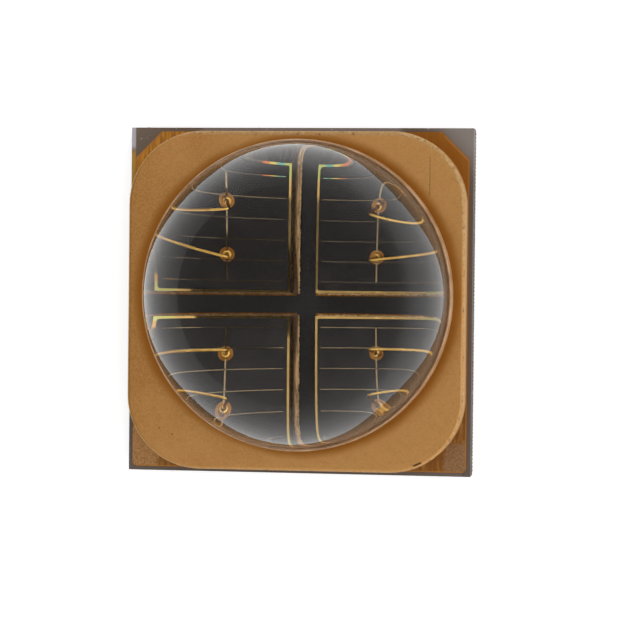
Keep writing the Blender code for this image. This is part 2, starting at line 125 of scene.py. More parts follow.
class Graph:
    """Small builder over one node tree."""

    def __init__(self, tree: Tree) -> None:
        """Keep the tree that nodes are added to."""
        self.tree = tree

    def add(self, kind: str, links: dict[str | int, Any] | None = None, **settings: Any) -> Node:
        """Add a node, set its properties, and fill its inputs.

        Args:
            kind: The node's type name.
            links: Values or output sockets, keyed by the input's name or number.
            **settings: Properties of the node itself.

        Returns:
            The new node.
        """
        node = self.tree.nodes.new(kind)
        for name, value in settings.items():
            setattr(node, name, value)
        for key, value in (links or {}).items():
            self.feed(node.inputs[key], value)
        return node

    def feed(self, socket: Socket, value: Any) -> None:
        """Link an output to an input socket, or set the socket's own value.

        Args:
            socket: The input to fill.
            value: An output socket, a number, a vector or a colour.
        """
        if isinstance(value, Socket):
            self.tree.links.new(value, socket)
        elif socket.type == "RGBA" and len(value) == 3:
            socket.default_value = (*value, 1.0)
        else:
            socket.default_value = value

    def math(self, operation: str, first: Value, second: Value = 0.0) -> Socket:
        """Return a Math node's output."""
        return self.add("ShaderNodeMath", {0: first, 1: second}, operation=operation).outputs[0]

    def plus(self, first: Value, second: Value) -> Socket:
        """Return the sum of two values."""
        return self.math("ADD", first, second)

    def minus(self, first: Value, second: Value) -> Socket:
        """Return the first value less the second."""
        return self.math("SUBTRACT", first, second)

    def times(self, first: Value, second: Value) -> Socket:
        """Return the product of two values."""
        return self.math("MULTIPLY", first, second)

    def larger(self, first: Value, second: Value) -> Socket:
        """Return the larger of two values."""
        return self.math("MAXIMUM", first, second)

    def unsigned(self, value: Value) -> Socket:
        """Return a value without its sign."""
        return self.math("ABSOLUTE", value)

    def vectors(self, operation: str, first: Any, second: Any) -> Node:
        """Return a Vector Math node over two vectors."""
        return self.add("ShaderNodeVectorMath", {0: first, 1: second}, operation=operation)

    def step(
        self, value: Value, low: Value, high: Value, to_low: Value = 0.0, to_high: Value = 1.0,
    ) -> Socket:
        """Return a smooth step between two values of the input."""
        links = {0: value, 1: low, 2: high, 3: to_low, 4: to_high}
        return self.add("ShaderNodeMapRange", links, interpolation_type="SMOOTHSTEP").outputs[0]

    def fall(self, value: Value, low: float, high: float, top: float = 1.0) -> Socket:
        """Return a smooth step down to 0 between two values of the input."""
        return self.step(value, low, high, top, 0.0)


class Shading(Graph):
    """Builder over a material's nodes, with lengths in millimetres of Object space."""

    def __init__(self, name: str) -> None:
        """Make an empty material and the millimetre coordinates that its patterns read.

        Args:
            name: The material's name.
        """
        self.material = bpy.data.materials.new(name)
        self.material.use_nodes = True
        super().__init__(self.material.node_tree)
        self.tree.nodes.clear()
        self.out = self.add("ShaderNodeOutputMaterial")
        place = self.add("ShaderNodeTexCoord").outputs["Object"]
        scaled = self.add("ShaderNodeVectorMath", {0: place, "Scale": 1 / MM}, operation="SCALE")
        self.mm = scaled.outputs[0]
        self.x, self.y, self.z = self.add("ShaderNodeSeparateXYZ", {0: self.mm}).outputs

    def noise(
        self, scale: float, detail: float = 3.0, roughness: float = 0.55,
        place: Socket | None = None,
    ) -> Socket:
        """Return fractal noise between 0 and 1, with a scale in cells per millimetre."""
        links = {0: place or self.mm, "Scale": scale, "Detail": detail, "Roughness": roughness}
        return self.add("ShaderNodeTexNoise", links).outputs[0]

    def stretched(self, along: Point) -> Socket:
        """Return the coordinates multiplied by a factor for each axis."""
        return self.vectors("MULTIPLY", self.mm, along).outputs[0]

    def cells(self, scale: float) -> Socket:
        """Return the distance to scattered points, which suits specks and pits."""
        links = {"Vector": self.mm, "Scale": scale}
        return self.add("ShaderNodeTexVoronoi", links, feature="F1").outputs["Distance"]

    def near(self, centre: Point, radius: float, soft: float) -> Socket:
        """Return a mask of 1 inside a ball round a point, falling to 0 over a soft edge."""
        gap = self.vectors("DISTANCE", self.mm, centre).outputs["Value"]
        return self.fall(gap, radius, radius + soft)

    def radial(self, axis: Range) -> Socket:
        """Return the distance from an upright axis."""
        plan = self.add("ShaderNodeCombineXYZ", {0: self.x, 1: self.y, 2: 0.0}).outputs[0]
        return self.vectors("DISTANCE", plan, (*axis, 0.0)).outputs["Value"]

    def inset(self, half: float, corner: float) -> Socket:
        """Measure how far a point lies inside a rounded square's outline.

        Args:
            half: Half of the square's width.
            corner: The radius of its corners.

        Returns:
            The depth in millimetres.
        """
        squares = []
        for axis in (self.x, self.y):
            side = self.larger(self.minus(self.unsigned(axis), half - corner), 0.0)
            squares.append(self.times(side, side))
        return self.minus(corner, self.math("SQRT", self.plus(*squares)))

    def mix(self, factor: Value, first: Tint, second: Tint) -> Socket:
        """Return two colours mixed by a factor."""
        links = {"Factor": factor, 6: first, 7: second}
        return self.add("ShaderNodeMix", links, data_type="RGBA").outputs[2]

    def bump(self, height: Socket, distance: float, strength: float = 1.0) -> Socket:
        """Return a normal for a height between 0 and 1 and a depth in millimetres."""
        links = {"Height": height, "Distance": distance * MM, "Strength": strength}
        return self.add("ShaderNodeBump", links).outputs[0]

    def surface(self, **inputs: Any) -> Material:
        """Finish with a Principled shader.

        Args:
            **inputs: Its inputs, with underscores for the spaces in their names.

        Returns:
            The finished material.
        """
        links = {name.replace("_", " "): value for name, value in inputs.items()}
        shader = self.add("ShaderNodeBsdfPrincipled", links)
        self.feed(self.out.inputs[0], shader.outputs[0])
        return self.material


@dataclass(frozen=True)
class SatinGold:
    """Satin gold of the frame, with a brown ring of painted shade round the lens and painted
    highlight inside the upper edge.
    """

    colour: Colour = (0.41, 0.186, 0.049)
    # Paler tone above and below, and painted light on the right of the face.
    worn: Colour = (0.515, 0.262, 0.083)
    glint: Colour = (0.68, 0.36, 0.13)
    # Brown of the random blotches and of the painted shade round the lens.
    stained: Colour = (0.33, 0.122, 0.019)
    side: Colour = (0.455, 0.252, 0.084)
    crumb: Colour = (0.57, 0.38, 0.185)
    # Painted light on the top of the walls on the left.
    bright_side: Colour = (0.50, 0.27, 0.040)
    speck: Colour = (0.10, 0.045, 0.02)
    half: float = 3.40
    corner: float = 1.48
    top: float = 1.273
    lens_axis: Range = (0.06, 0.12)
    lens_radius: float = 3.08
    # Where the ring of painted shade starts and ends, outside the lens's edge, in millimetres.
    ring_from: float = 0.06
    ring_to: float = 0.29
    dent: Range = (2.50, -3.215)
    dent_slope: float = 0.45
    scratch: Range = (2.69, 2.52)
    roughness: float = 0.44
    grain_per_mm: float = 27.0
    grain_depth: float = 0.0016

    def build(self) -> Material:
        """Mix the frame's face, ring, walls and marks.

        Returns:
            The frame's material.
        """
        s = Shading("satin_gold")
        grain, lumps = s.noise(self.grain_per_mm, 4.0, 0.7), s.noise(11.0, 4.0, 0.7)
        gap = s.radial(self.lens_axis)
        wall = self.wall(s, gap, lumps)
        rugged = s.step(s.z, self.top - 0.16, self.top - 0.05, 0.12, 0.7)
        # Painted shade: a brown ring round the lens, where the frame lies in the dome's shade and
        # mirrors the dark dome.
        tone = s.mix(self.ring(s, gap), self.face(s, grain), self.stained)
        tone = s.mix(wall, tone, self.sides(s, lumps, rugged))
        tone = s.mix(self.marks(s), tone, self.speck)
        rough = s.step(grain, *NOISE_SPAN, self.roughness - 0.05, self.roughness + 0.07)
        return s.surface(
            Base_Color=tone, Metallic=s.minus(1.0, s.times(wall, rugged)),
            Roughness=s.plus(rough, s.times(wall, 0.15)),
            Normal=s.bump(grain, self.grain_depth, 0.8),
        )

    def face(self, s: Shading, grain: Socket) -> Socket:
        """Tint the upper face: paler above and below, painted lighter on the right where the light
        falls, with grain and rare specks.

        Args:
            s: The material's builder.
            grain: The plating's fine noise.

        Returns:
            The face's colour.
        """
        # Painted light: the face grows paler towards the right, where the light falls; it is also
        # paler above and below.
        outward = s.plus(s.times(s.unsigned(s.y), 0.14), s.times(s.x, 0.11))
        tone = s.mix(s.step(s.plus(outward, s.noise(1.1)), 0.2, 1.0), self.colour, self.worn)
        tone = s.mix(s.step(grain, 0.38, 0.62, 0.0, 0.4), tone, self.glint)
        tone = s.mix(s.step(s.noise(8.0, 4.0, 0.75), 0.50, 0.72, 0.0, 0.16), tone, self.stained)
        dots, rare = s.fall(s.cells(3.2), 0.035, 0.06), s.step(s.noise(1.7, 0.0), 0.54, 0.6)
        return s.mix(s.times(dots, rare), tone, self.speck)

    def ring(self, s: Shading, gap: Socket) -> Socket:
        """Mask the brown ring of painted shade round the lens: wider on the left, with a faint tail
        on the right.

        Args:
            s: The material's builder.
            gap: The distance from the lens's axis.

        Returns:
            The mask of the painted shade.
        """
        reach = s.plus(s.minus(gap, s.times(s.x, 0.024)), s.times(s.noise(1.3, 2.0), 0.08))
        tail = s.fall(reach, self.lens_radius + 0.16, self.lens_radius + 0.42, 0.28)
        tail = s.times(s.times(tail, s.step(s.x, 2.0, 2.7)), s.fall(s.unsigned(s.y), 1.3, 2.2))
        reach = s.minus(reach, s.fall(s.x, -3.2, -0.9, 0.17))
        ring = s.fall(reach, self.lens_radius + self.ring_from, self.lens_radius + self.ring_to)
        return s.larger(ring, tail)

    def wall(self, s: Shading, gap: Socket, lumps: Socket) -> Socket:
        """Mask the walls and the uneven band of painted highlight inside the upper edge, widest at
        the top right.

        Args:
            s: The material's builder.
            gap: The distance from the lens's axis.
            lumps: The noise that makes the band uneven.

        Returns:
            The mask of walls and band.
        """
        below = s.fall(s.z, self.top - 0.035, self.top - 0.004)
        # Painted highlight: a pale band in the walls' colour inside the upper edge stands in for
        # the lit rounding, widest at the top right.
        diagonal = s.plus(s.times(s.x, 1.3), s.y)
        width = s.times(s.step(diagonal, -0.6, 1.5), s.step(s.y, 0.0, 3.0, 0.035, 0.085))
        width = s.plus(width, s.times(lumps, 0.06))
        edge_highlight = s.fall(s.minus(s.inset(self.half, self.corner), width), -0.045, -0.015)
        outside = s.step(gap, self.lens_radius + 0.05, self.lens_radius + 0.15)
        return s.times(outside, s.larger(below, edge_highlight))

    def sides(self, s: Shading, lumps: Socket, rugged: Socket) -> Socket:
        """Tint the walls: painted yellow light at the top on the left, with crumbs and specks near
        the top.

        Args:
            s: The material's builder.
            lumps: The noise that places the specks.
            rugged: How much of the crumbs and specks shows at each height.

        Returns:
            The walls' colour.
        """
        # Painted light: the walls are yellower at the top on the left.
        lit = s.times(s.step(s.z, self.top - 0.14, self.top - 0.05), s.fall(s.x, -3.3, -2.4))
        tone = s.mix(lit, self.side, self.bright_side)
        crumbs = s.times(s.step(s.noise(13.0, 4.0, 0.7), 0.50, 0.62), rugged)
        tone = s.mix(crumbs, tone, self.crumb)
        return s.mix(s.times(s.step(lumps, 0.56, 0.66), rugged), tone, self.speck)

    def marks(self, s: Shading) -> Socket:
        """Mask the short dent at the lower right and the thin scratch at the upper right.

        Args:
            s: The material's builder.

        Returns:
            The marks' mask.
        """
        slope = s.minus(s.y, s.times(s.minus(s.x, self.dent[0]), self.dent_slope))
        dent = s.fall(s.unsigned(s.minus(slope, self.dent[1])), 0.012, 0.030)
        dent = s.times(dent, s.near((*self.dent, self.top), 0.06, 0.06))
        beside = s.fall(s.unsigned(s.minus(s.x, self.scratch[0])), 0.006, 0.014, 0.4)
        along = s.fall(s.unsigned(s.minus(s.y, self.scratch[1])), 0.32, 0.48)
        return s.larger(dent, s.times(beside, along))


@dataclass(frozen=True)
class CircuitGold:
    """Fired gold of the pads on the ceramic: streaked, rough lower corners, and a painted highlight
    along the rim.
    """

    colour: Colour = (0.26, 0.105, 0.024)
    streak: Colour = (0.42, 0.21, 0.065)
    deep: Colour = (0.34, 0.122, 0.016)
    amber: Colour = (0.60, 0.262, 0.042)
    patch: Colour = (0.39, 0.215, 0.105)
    patch_low: Colour = (0.24, 0.125, 0.055)
    # Painted light on the pores of the patches, towards the left.
    patch_left: Colour = (0.50, 0.255, 0.095)
    # Colour of the painted highlight along the rim.
    edge: Colour = (0.44, 0.190, 0.048)
    corner: Range = (4.2, 4.9)
    rim: Range = (3.385, 3.40)
    chamfer: Range = (6.20, 6.24)
    left_patch: Point = (-3.30, -3.05, 0.6)
    right_patch: Point = (3.30, -3.15, 0.6)
    roughness: float = 0.42

    def build(self) -> Material:
        """Mix the streaked gold with its corners and the painted highlight along its rim.

        Returns:
            The circuit pads' material.
        """
        s = Shading("circuit_gold")
        lines = s.noise(5.0, 4.0, 0.7, s.stretched((3.4, 0.35, 1.0)))
        ragged = s.noise(4.5, 5.0, 0.7)
        tone = s.mix(s.step(lines, 0.42, 0.72), self.colour, self.streak)
        tone = s.mix(s.step(s.plus(s.x, s.y), *self.corner, 0.0, 0.8), tone, self.deep)
        upper_left = s.step(s.minus(s.y, s.x), *self.corner, 0.0, 0.95)
        tone = s.mix(s.times(upper_left, s.step(lines, 0.36, 0.60, 0.30)), tone, self.amber)
        tone = self.patched(s, tone, ragged)
        # Painted highlight: a bright line along the right and lower edges and on the chamfers.
        tone = s.mix(s.times(self.rimmed(s, ragged), 0.8), tone, self.edge)
        grain = s.noise(30.0, 3.0, 0.7)
        height = s.plus(s.times(grain, 0.4), s.times(lines, 0.6))
        rough = s.step(grain, *NOISE_SPAN, self.roughness, self.roughness + 0.16)
        return s.surface(
            Base_Color=tone, Metallic=1.0, Roughness=rough, Normal=s.bump(height, 0.004, 0.7),
        )

    def patched(self, s: Shading, tone: Socket, ragged: Socket) -> Socket:
        """Lay the rough, porous patches over both lower corners, with painted light on the pores on
        the left.

        Args:
            s: The material's builder.
            tone: The colour under the patches.
            ragged: The noise that frays their outlines.

        Returns:
            The colour with the patches.
        """
        spots = s.larger(s.near(self.left_patch, 0.18, 0.62), s.near(self.right_patch, 0.10, 0.55))
        mask = s.step(s.plus(spots, s.minus(ragged, 0.62)), 0.30, 0.55)
        pores = s.noise(40.0, 4.0, 0.7)
        porous = s.mix(s.step(pores, 0.38, 0.62), self.patch_low, self.patch)
        # Painted light: the pores grow lighter towards the left.
        lit = s.times(s.fall(s.x, -1.0, 1.0), s.step(pores, 0.40, 0.56, 0.15))
        return s.mix(mask, tone, s.mix(lit, porous, self.patch_left))

    def rimmed(self, s: Shading, ragged: Socket) -> Socket:
        """Mask the painted highlight along the right and lower edges and both chamfers.

        Args:
            s: The material's builder.
            ragged: The noise that breaks the rim on the chamfers.

        Returns:
            The highlight's mask.
        """
        inner, outer = self.rim
        rim = s.larger(s.step(s.x, inner, outer), s.fall(s.y, -outer, -inner))
        chamfer = s.step(s.plus(s.unsigned(s.x), s.y), *self.chamfer)
        return s.larger(rim, s.times(chamfer, s.step(ragged, 0.35, 0.60, 0.3)))


@dataclass(frozen=True)
class Ceramic:
    """Sintered grey ceramic: grain, pale pits, painted shade in the cavity and in the upper right
    corner, and a gilded left margin.
    """

    dark: Colour = (0.105, 0.078, 0.060)
    pale: Colour = (0.225, 0.192, 0.172)
    # Dark grey of the painted shade in the upper right corner, also used along the right margin.
    sooty: Colour = (0.125, 0.090, 0.066)
    umber: Colour = (0.155, 0.110, 0.078)
    crumb: Colour = (0.52, 0.49, 0.47)
    gilt: Colour = (0.52, 0.32, 0.08)
    chalk: Colour = (0.46, 0.43, 0.47)
    # Painted shade darkening the ceramic under the lens, seen between the dies.
    floor: Colour = (0.022, 0.019, 0.018)
    floor_grain: Colour = (0.040, 0.036, 0.033)
    cavity: Point = (0.06, 0.12, 0.58)
    cavity_radius: float = 2.78
    corner: Range = (5.4, 5.6)
    upper_face: Range = (0.50, 0.57)
    roughness: float = 0.62

    def build(self) -> Material:
        """Mix the grained ceramic with the painted shade in its cavity and with its left margin.

        Returns:
            The base's material.
        """
        s = Shading("grey_ceramic")
        grain = s.noise(34.0, 4.0, 0.75)
        tone = self.body(s, grain)
        # Painted shade: the ceramic in the cavity is darkened where it lies deep between the dies.
        inside = s.near(self.cavity, self.cavity_radius - 0.06, 0.05)
        inside = s.times(inside, s.step(s.z, 0.40, 0.55))
        tone = s.mix(inside, tone, s.mix(s.step(grain, 0.35, 0.7), self.floor, self.floor_grain))
        margin, raised = s.fall(s.x, -3.43, -3.40), s.step(s.z, *self.upper_face)
        gilded = s.times(margin, s.step(s.plus(s.y, s.noise(5.0)), -1.35, -1.05))
        gilded = s.times(s.times(gilded, raised), s.fall(s.y, 2.95, 3.10))
        tone = s.mix(gilded, tone, self.gilt)
        chalky = s.times(s.times(margin, s.step(s.y, 3.0, 3.15)), raised)
        tone = s.mix(chalky, tone, self.chalk)
        return s.surface(
            Base_Color=tone, Roughness=s.step(grain, *NOISE_SPAN, self.roughness, 0.78),
            Metallic=s.times(gilded, 0.8), Normal=s.bump(grain, 0.005, 0.7), Specular_IOR_Level=0.4,
        )

    def body(self, s: Shading, grain: Socket) -> Socket:
        """Tint the ceramic: paler to the upper right, with painted shade in the upper right corner,
        a darker upper left corner and margin, and pale pits.

        Args:
            s: The material's builder.
            grain: The ceramic's fine noise.

        Returns:
            The ceramic's colour.
        """
        diagonal = s.plus(s.times(s.x, 0.45), s.y)
        tone = s.mix(s.step(diagonal, -4.2, 3.9), self.dark, self.pale)
        tone = s.mix(s.step(grain, 0.35, 0.7, 0.0, 0.35), tone, self.pale)
        total = s.plus(s.x, s.y)
        # Painted shade: the exposed upper right corner is darker next to the frame and paler
        # towards its tip.
        shaded = s.mix(s.step(total, 5.85, 6.75), self.sooty, self.pale)
        tone = s.mix(s.step(total, *self.corner), tone, shaded)
        tone = s.mix(s.step(s.minus(s.y, s.x), *self.corner), tone, self.umber)
        # A darker, speckled strip along the right margin, below the upper corner.
        dark_margin = s.times(s.step(s.x, 3.31, 3.35), s.fall(s.y, 2.3, 2.7))
        tone = s.mix(dark_margin, tone, s.mix(s.step(grain, 0.4, 0.7), self.dark, self.sooty))
        pits = s.times(s.fall(s.cells(9.0), 0.05, 0.13), s.step(s.noise(2.3, 1.0), 0.5, 0.62))
        return s.mix(pits, tone, self.crumb)


@dataclass(frozen=True)
class BrokenEdge:
    """Pale crumbly ceramic along the scribed and snapped sides."""

    shadow: Colour = (0.075, 0.060, 0.050)
    pale: Colour = (0.21, 0.18, 0.155)
    crumb: Colour = (0.58, 0.56, 0.53)

    def build(self) -> Material:
        """Mix shadowed and pale lumps with light crumbs.

        Returns:
            The material of the scribed edges.
        """
        s = Shading("broken_edge")
        lumps = s.noise(9.0, 5.0, 0.7)
        tone = s.mix(s.step(lumps, 0.38, 0.55), self.shadow, self.pale)
        tone = s.mix(s.step(s.noise(15.0, 3.0), 0.60, 0.70), tone, self.crumb)
        return s.surface(Base_Color=tone, Roughness=0.8, Normal=s.bump(lumps, 0.012))


@dataclass(frozen=True)
class PlatedPad:
    """Matt gold plating of the solder pads on the underside."""

    colour: Colour = (0.62, 0.38, 0.13)
    dull: Colour = (0.48, 0.29, 0.11)
    scratched: Colour = (0.80, 0.55, 0.24)

    def build(self) -> Material:
        """Mix cloudy plating with fine scratches.

        Returns:
            The underside pads' material.
        """
        s = Shading("plated_pad")
        cloud, grain = s.noise(2.2, 4.0), s.noise(40.0, 3.0, 0.7)
        scratch = s.noise(7.0, 2.0, 0.5, s.stretched((0.5, 6.0, 1.0)))
        tone = s.mix(s.step(cloud, 0.35, 0.7), self.colour, self.dull)
        tone = s.mix(s.step(scratch, 0.66, 0.72, 0.0, 0.5), tone, self.scratched)
        return s.surface(
            Base_Color=tone, Metallic=1.0, Roughness=s.step(grain, *NOISE_SPAN, 0.30, 0.46),
            Normal=s.bump(grain, 0.002, 0.6),
        )


@dataclass(frozen=True)
class GrainyMetal:
    """Metal with a cast or reflowed grain: plugs, solder and bond spots."""

    name: str
    colour: Colour
    dull: Colour
    roughness: float
    grain_per_mm: float = 30.0
    depth_mm: float = 0.002

    def build(self) -> Material:
        """Mix the metal's two tones by its grain.

        Returns:
            The metal's material.
        """
        s = Shading(self.name)
        grain = s.noise(self.grain_per_mm, 4.0, 0.7)
        return s.surface(
            Base_Color=s.mix(s.step(grain, 0.38, 0.66), self.dull, self.colour), Metallic=1.0,
            Roughness=s.step(grain, *NOISE_SPAN, self.roughness, self.roughness + 0.12),
            Normal=s.bump(grain, self.depth_mm, 0.8),
        )


@dataclass(frozen=True)
class MirrorGold:
    """Smooth evaporated gold of the die borders and grids, with painted rainbow glints far out.

    The gold is darkened with painted dark reflection, by shares of its own above and below the
    middle, less so far up, at the sides and on the bus. Where it is darkened it is also less
    metallic.
    """

    name: str
    colour: Colour
    dull: Colour
    # Painted light: far out along the borders the gold turns into rainbow and amber glints,
    # standing in for the colours that the lens's rim splits off, and then goes dark.
    tarnish: Colour = (0.09, 0.065, 0.04)
    films: tuple[Colour, ...] = (
        (0.60, 0.62, 0.16), (0.16, 0.50, 0.42), (0.85, 0.66, 0.12), (0.80, 0.22, 0.05),
    )
    ambers: tuple[Colour, ...] = ((0.74, 0.68, 0.17), (0.88, 0.42, 0.06))
    film_from: float = 0.21
    film_step: float = 0.085
    roughness: float = 0.03
    bright_reach: float = 1.42
    bus_x: float = 0.90
    # Shares of brightness that the painted dark reflection leaves above and below the middle and at
    # the sides, and how much less metallic it makes the gold.
    upper: float = 1.0
    lower: float = 1.0
    level: float = 1.0
    matt: float = 0.3

    def banded(self, s: Shading, along: Socket, films: tuple[Colour, ...]) -> Socket:
        """Colour painted glints in bands along an edge, ending in painted dark.

        Args:
            s: The material's builder.
            along: The distance along the edge.
            films: The colours of the painted glints, in order.

        Returns:
            The glints' colour.
        """
        tone = films[0]
        for number, colour in enumerate((*films[1:], self.tarnish)):
            edge = self.film_from + self.film_step * number
            tone = s.mix(s.step(along, edge, edge + 0.06), tone, colour)
        return tone

    def build(self) -> Material:
        """Mix the clouded gold, its painted glints and its stretches of painted dark reflection.

        Returns:
            The gold's material.
        """
        s = Shading(self.name)
        cloud = s.noise(6.0, 3.0, 0.6)
        across, down = s.unsigned(s.x), s.unsigned(s.y)
        along, away = s.math("MINIMUM", across, down), s.larger(across, down)
        # Painted rainbow and amber glints far out along the borders.
        rainbow = self.banded(s, s.times(along, s.step(s.y, *SIGN_SPAN, 2.2, 1.0)), self.films)
        amber = self.banded(s, s.times(along, s.step(s.y, *SIGN_SPAN, 1.25, 1.0)), self.ambers)
        sideways = s.step(s.minus(across, down), *SIGN_SPAN)
        tone = s.mix(s.step(cloud, 0.36, 0.66), self.dull, self.colour)
        reach = s.step(away, self.bright_reach, self.bright_reach + 0.1)
        tone = s.mix(reach, tone, s.mix(sideways, rainbow, amber))
        # Painted dark reflection: the gold is darkened where its mirror would show the dark camera
        # and lens.
        dim = self.dimmed(s, across, down)
        return s.surface(
            Base_Color=s.mix(dim, tone, (0.0, 0.0, 0.0)),
            Metallic=s.minus(1.0, s.times(dim, self.matt)),
            Roughness=s.step(cloud, *NOISE_SPAN, self.roughness + 0.03, self.roughness),
        )

    def dimmed(self, s: Shading, across: Socket, down: Socket) -> Socket:
        """Measure how much of the gold's brightness the painted dark reflection takes away.

        Args:
            s: The material's builder.
            across: The distance from the middle along X.
            down: The distance from the middle along Y.

        Returns:
            The share that is lost.
        """
        dim = s.step(s.y, -0.1, 0.25, 1.0 - self.lower, 1.0 - self.upper)
        dim = s.times(dim, s.step(s.y, 1.18, 1.32, 1.0, 0.25))
        dim = s.times(dim, s.step(s.minus(across, down), *SIGN_SPAN, 1.0, self.level))
        beside = s.unsigned(s.minus(across, self.bus_x))
        return s.times(dim, s.step(beside, 0.010, 0.014, 0.35))


@dataclass(frozen=True)
class SawnDie:
    """Semiconductor side wall with upright saw marks."""

    dark: Colour = (0.055, 0.036, 0.024)
    pale: Colour = (0.20, 0.135, 0.09)

    def build(self) -> Material:
        """Mix the wall's two tones by its saw marks.

        Returns:
            The die walls' material.
        """
        s = Shading("sawn_die")
        marks = s.noise(16.0, 3.0, 0.7, s.stretched((1.0, 1.0, 0.3)))
        tone = s.mix(s.step(marks, 0.42, 0.7), self.dark, self.pale)
        return s.surface(Base_Color=tone, Roughness=0.6, Metallic=0.3, Normal=s.bump(marks, 0.006))


@dataclass(frozen=True)
class FlashedSolder:
    """Rough gilded solder round the dies, with a streaked ridge of painted highlight between the
    columns.

    The painted highlight narrows towards the middle of the array.
    """

    colour: Colour = (0.46, 0.30, 0.175)
    dull: Colour = (0.20, 0.115, 0.062)
    # Painted highlight on the ridge between the columns.
    crest: Colour = (0.92, 0.60, 0.29)
    shade: Colour = (0.11, 0.068, 0.040)
    band: Range = (-0.166, -0.050)
    crest_from: float = -0.146
    crest_to: float = -0.108
    narrowed: float = 0.040

    def build(self) -> Material:
        """Mix the grained solder with its band of painted shade and its ridge of painted highlight.

        Returns:
            The solder's material.
        """
        s = Shading("bead_gold")
        grain = s.noise(60.0, 4.0, 0.7)
        streaks = s.noise(45.0, 3.0, 0.6, s.stretched((1.0, 0.10, 1.0)))
        tone = s.mix(s.step(grain, 0.38, 0.66), self.dull, self.colour)
        start, stop = self.band
        band = s.times(s.step(s.x, start, start + 0.006), s.fall(s.x, stop, stop + 0.01, 0.7))
        tone = s.mix(band, tone, self.shade)
        # Painted highlight on the ridge, narrowed towards the middle of the array.
        narrow = s.fall(s.unsigned(s.y), 0.15, 0.85, self.narrowed)
        rise = s.step(s.minus(s.x, narrow), self.crest_from, self.crest_to)
        tone = s.mix(s.times(rise, s.step(streaks, 0.36, 0.60, 0.36)), tone, self.crest)
        return s.surface(
            Base_Color=tone, Metallic=1.0, Roughness=s.step(grain, *NOISE_SPAN, 0.34, 0.46),
            Normal=s.bump(grain, 0.004, 0.8),
        )


@dataclass(frozen=True)
class DarkEmitter:
    """Near-black emitting face with a faint grey bloom."""

    colour: Colour = (0.032, 0.0285, 0.0272)
    bloom: Colour = (0.054, 0.0490, 0.0475)

    def build(self) -> Material:
        """Mix the dark face with its bloom, which fades upwards.

        Returns:
            The emitting face's material.
        """
        s = Shading("dark_emitter")
        fade = s.minus(s.times(s.noise(2.4, 4.0, 0.6), 0.7), s.times(s.y, 0.35))
        tone = s.mix(s.step(fade, 0.1, 0.85), self.colour, self.bloom)
        rough = s.step(s.noise(50.0, 2.0, 0.6), *NOISE_SPAN, 0.22, 0.3)
        return s.surface(Base_Color=tone, Roughness=rough, Specular_IOR_Level=0.05)


@dataclass(frozen=True)
class BondWire:
    """Drawn gold wire."""

    colour: Colour = (0.86, 0.54, 0.14)
    dull: Colour = (0.66, 0.36, 0.09)

    def build(self) -> Material:
        """Mix the wire's two tones.

        Returns:
            The wires' material.
        """
        s = Shading("bond_wire_gold")
        cloud = s.noise(5.0, 2.0)
        tone = s.mix(s.step(cloud, 0.35, 0.7), self.colour, self.dull)
        rough = s.step(cloud, *NOISE_SPAN, 0.26, 0.32)
        return s.surface(Base_Color=tone, Metallic=1.0, Roughness=rough)


@dataclass(frozen=True)
class Adhesive:
    """Cured amber bond line under the lens."""

    colour: Colour = (0.42, 0.25, 0.13)
    pale: Colour = (0.62, 0.42, 0.26)

    def build(self) -> Material:
        """Mix the adhesive's two tones.

        Returns:
            The bond ring's material.
        """
        s = Shading("lens_adhesive")
        beads = s.noise(2.6, 3.0)
        tone = s.mix(s.step(beads, 0.35, 0.7), self.colour, self.pale)
        normal = s.bump(beads, 0.003)
        return s.surface(Base_Color=tone, Roughness=0.35, Coat_Weight=0.3, Normal=normal)


@dataclass(frozen=True)
class CoatedGlass:
    """Polished glass with painted reflection, none in the middle and more towards its rim, and a
    ground flange with a stain.
    """

    colour: Colour = (0.985, 0.985, 0.98)
    stained: Colour = (0.95, 0.72, 0.46)
    ior: float = 1.46
    axis: Range = (0.06, 0.12)
    # Painted reflection: the specular tint is black in the middle and rises towards the rim, less
    # on the lower left, standing in for the angle at which the view meets the glass.
    coat_axis: Range = (-0.04, 0.12)
    coat_edge: Range = (2.38, 2.68)
    coated: Colour = (0.0, 0.0, 0.0)
    bare: Colour = (0.52, 0.52, 0.52)
    bare_low: Colour = (0.10, 0.10, 0.10)
    ground_from: float = 2.985
    ground: float = 0.35

    def build(self) -> Material:
        """Mix the glass's painted reflection with the ground flange.

        Returns:
            The lens material.
        """
        s = Shading("coated_glass")
        # Painted reflection, set by place: little in the middle, more towards the rim and less on
        # the lower left.
        upward = s.step(s.plus(s.x, s.y), -2.4, 0.4)
        bare = s.step(s.radial(self.coat_axis), *self.coat_edge)
        reflection_tint = s.mix(bare, self.coated, s.mix(upward, self.bare_low, self.bare))
        ledge = s.step(s.radial(self.axis), self.ground_from, self.ground_from + 0.03)
        return s.surface(
            Base_Color=s.mix(ledge, self.colour, self.stained), Transmission_Weight=1.0,
            IOR=self.ior, Roughness=s.times(ledge, self.ground), Specular_Tint=reflection_tint,
        )


def dress(obj: bpy.types.Object, material: Material) -> None:
    """Give an object one material.

    Args:
        obj: The piece.
        material: Its finish.
    """
    obj.data.materials.clear()
    obj.data.materials.append(material)


def dress_nodes(material: Material, slot: str, *prefixes: str) -> None:
    """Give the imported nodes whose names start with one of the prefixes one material."""
    for node in [node for name, node in NODES.items() if name.startswith(prefixes)]:
        dress(node, material)


def new_piece(
    name: str, mesh: Mesh, material: Material, replaced: Sequence[str] = (),
) -> bpy.types.Object:
    """Add a piece of the part that rides on its body.

    Args:
        name: The piece's name.
        mesh: Its mesh, in place.
        material: Its finish.
        replaced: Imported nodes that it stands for.

    Returns:
        The new object.
    """
    obj = bpy.data.objects.new(name, mesh)
    bpy.context.scene.collection.objects.link(obj)
    dress(obj, material)
    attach(obj, "root")
    if replaced:
        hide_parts(*replaced)
    LOG.info("%s: %d faces", name, len(mesh.polygons))
    return obj


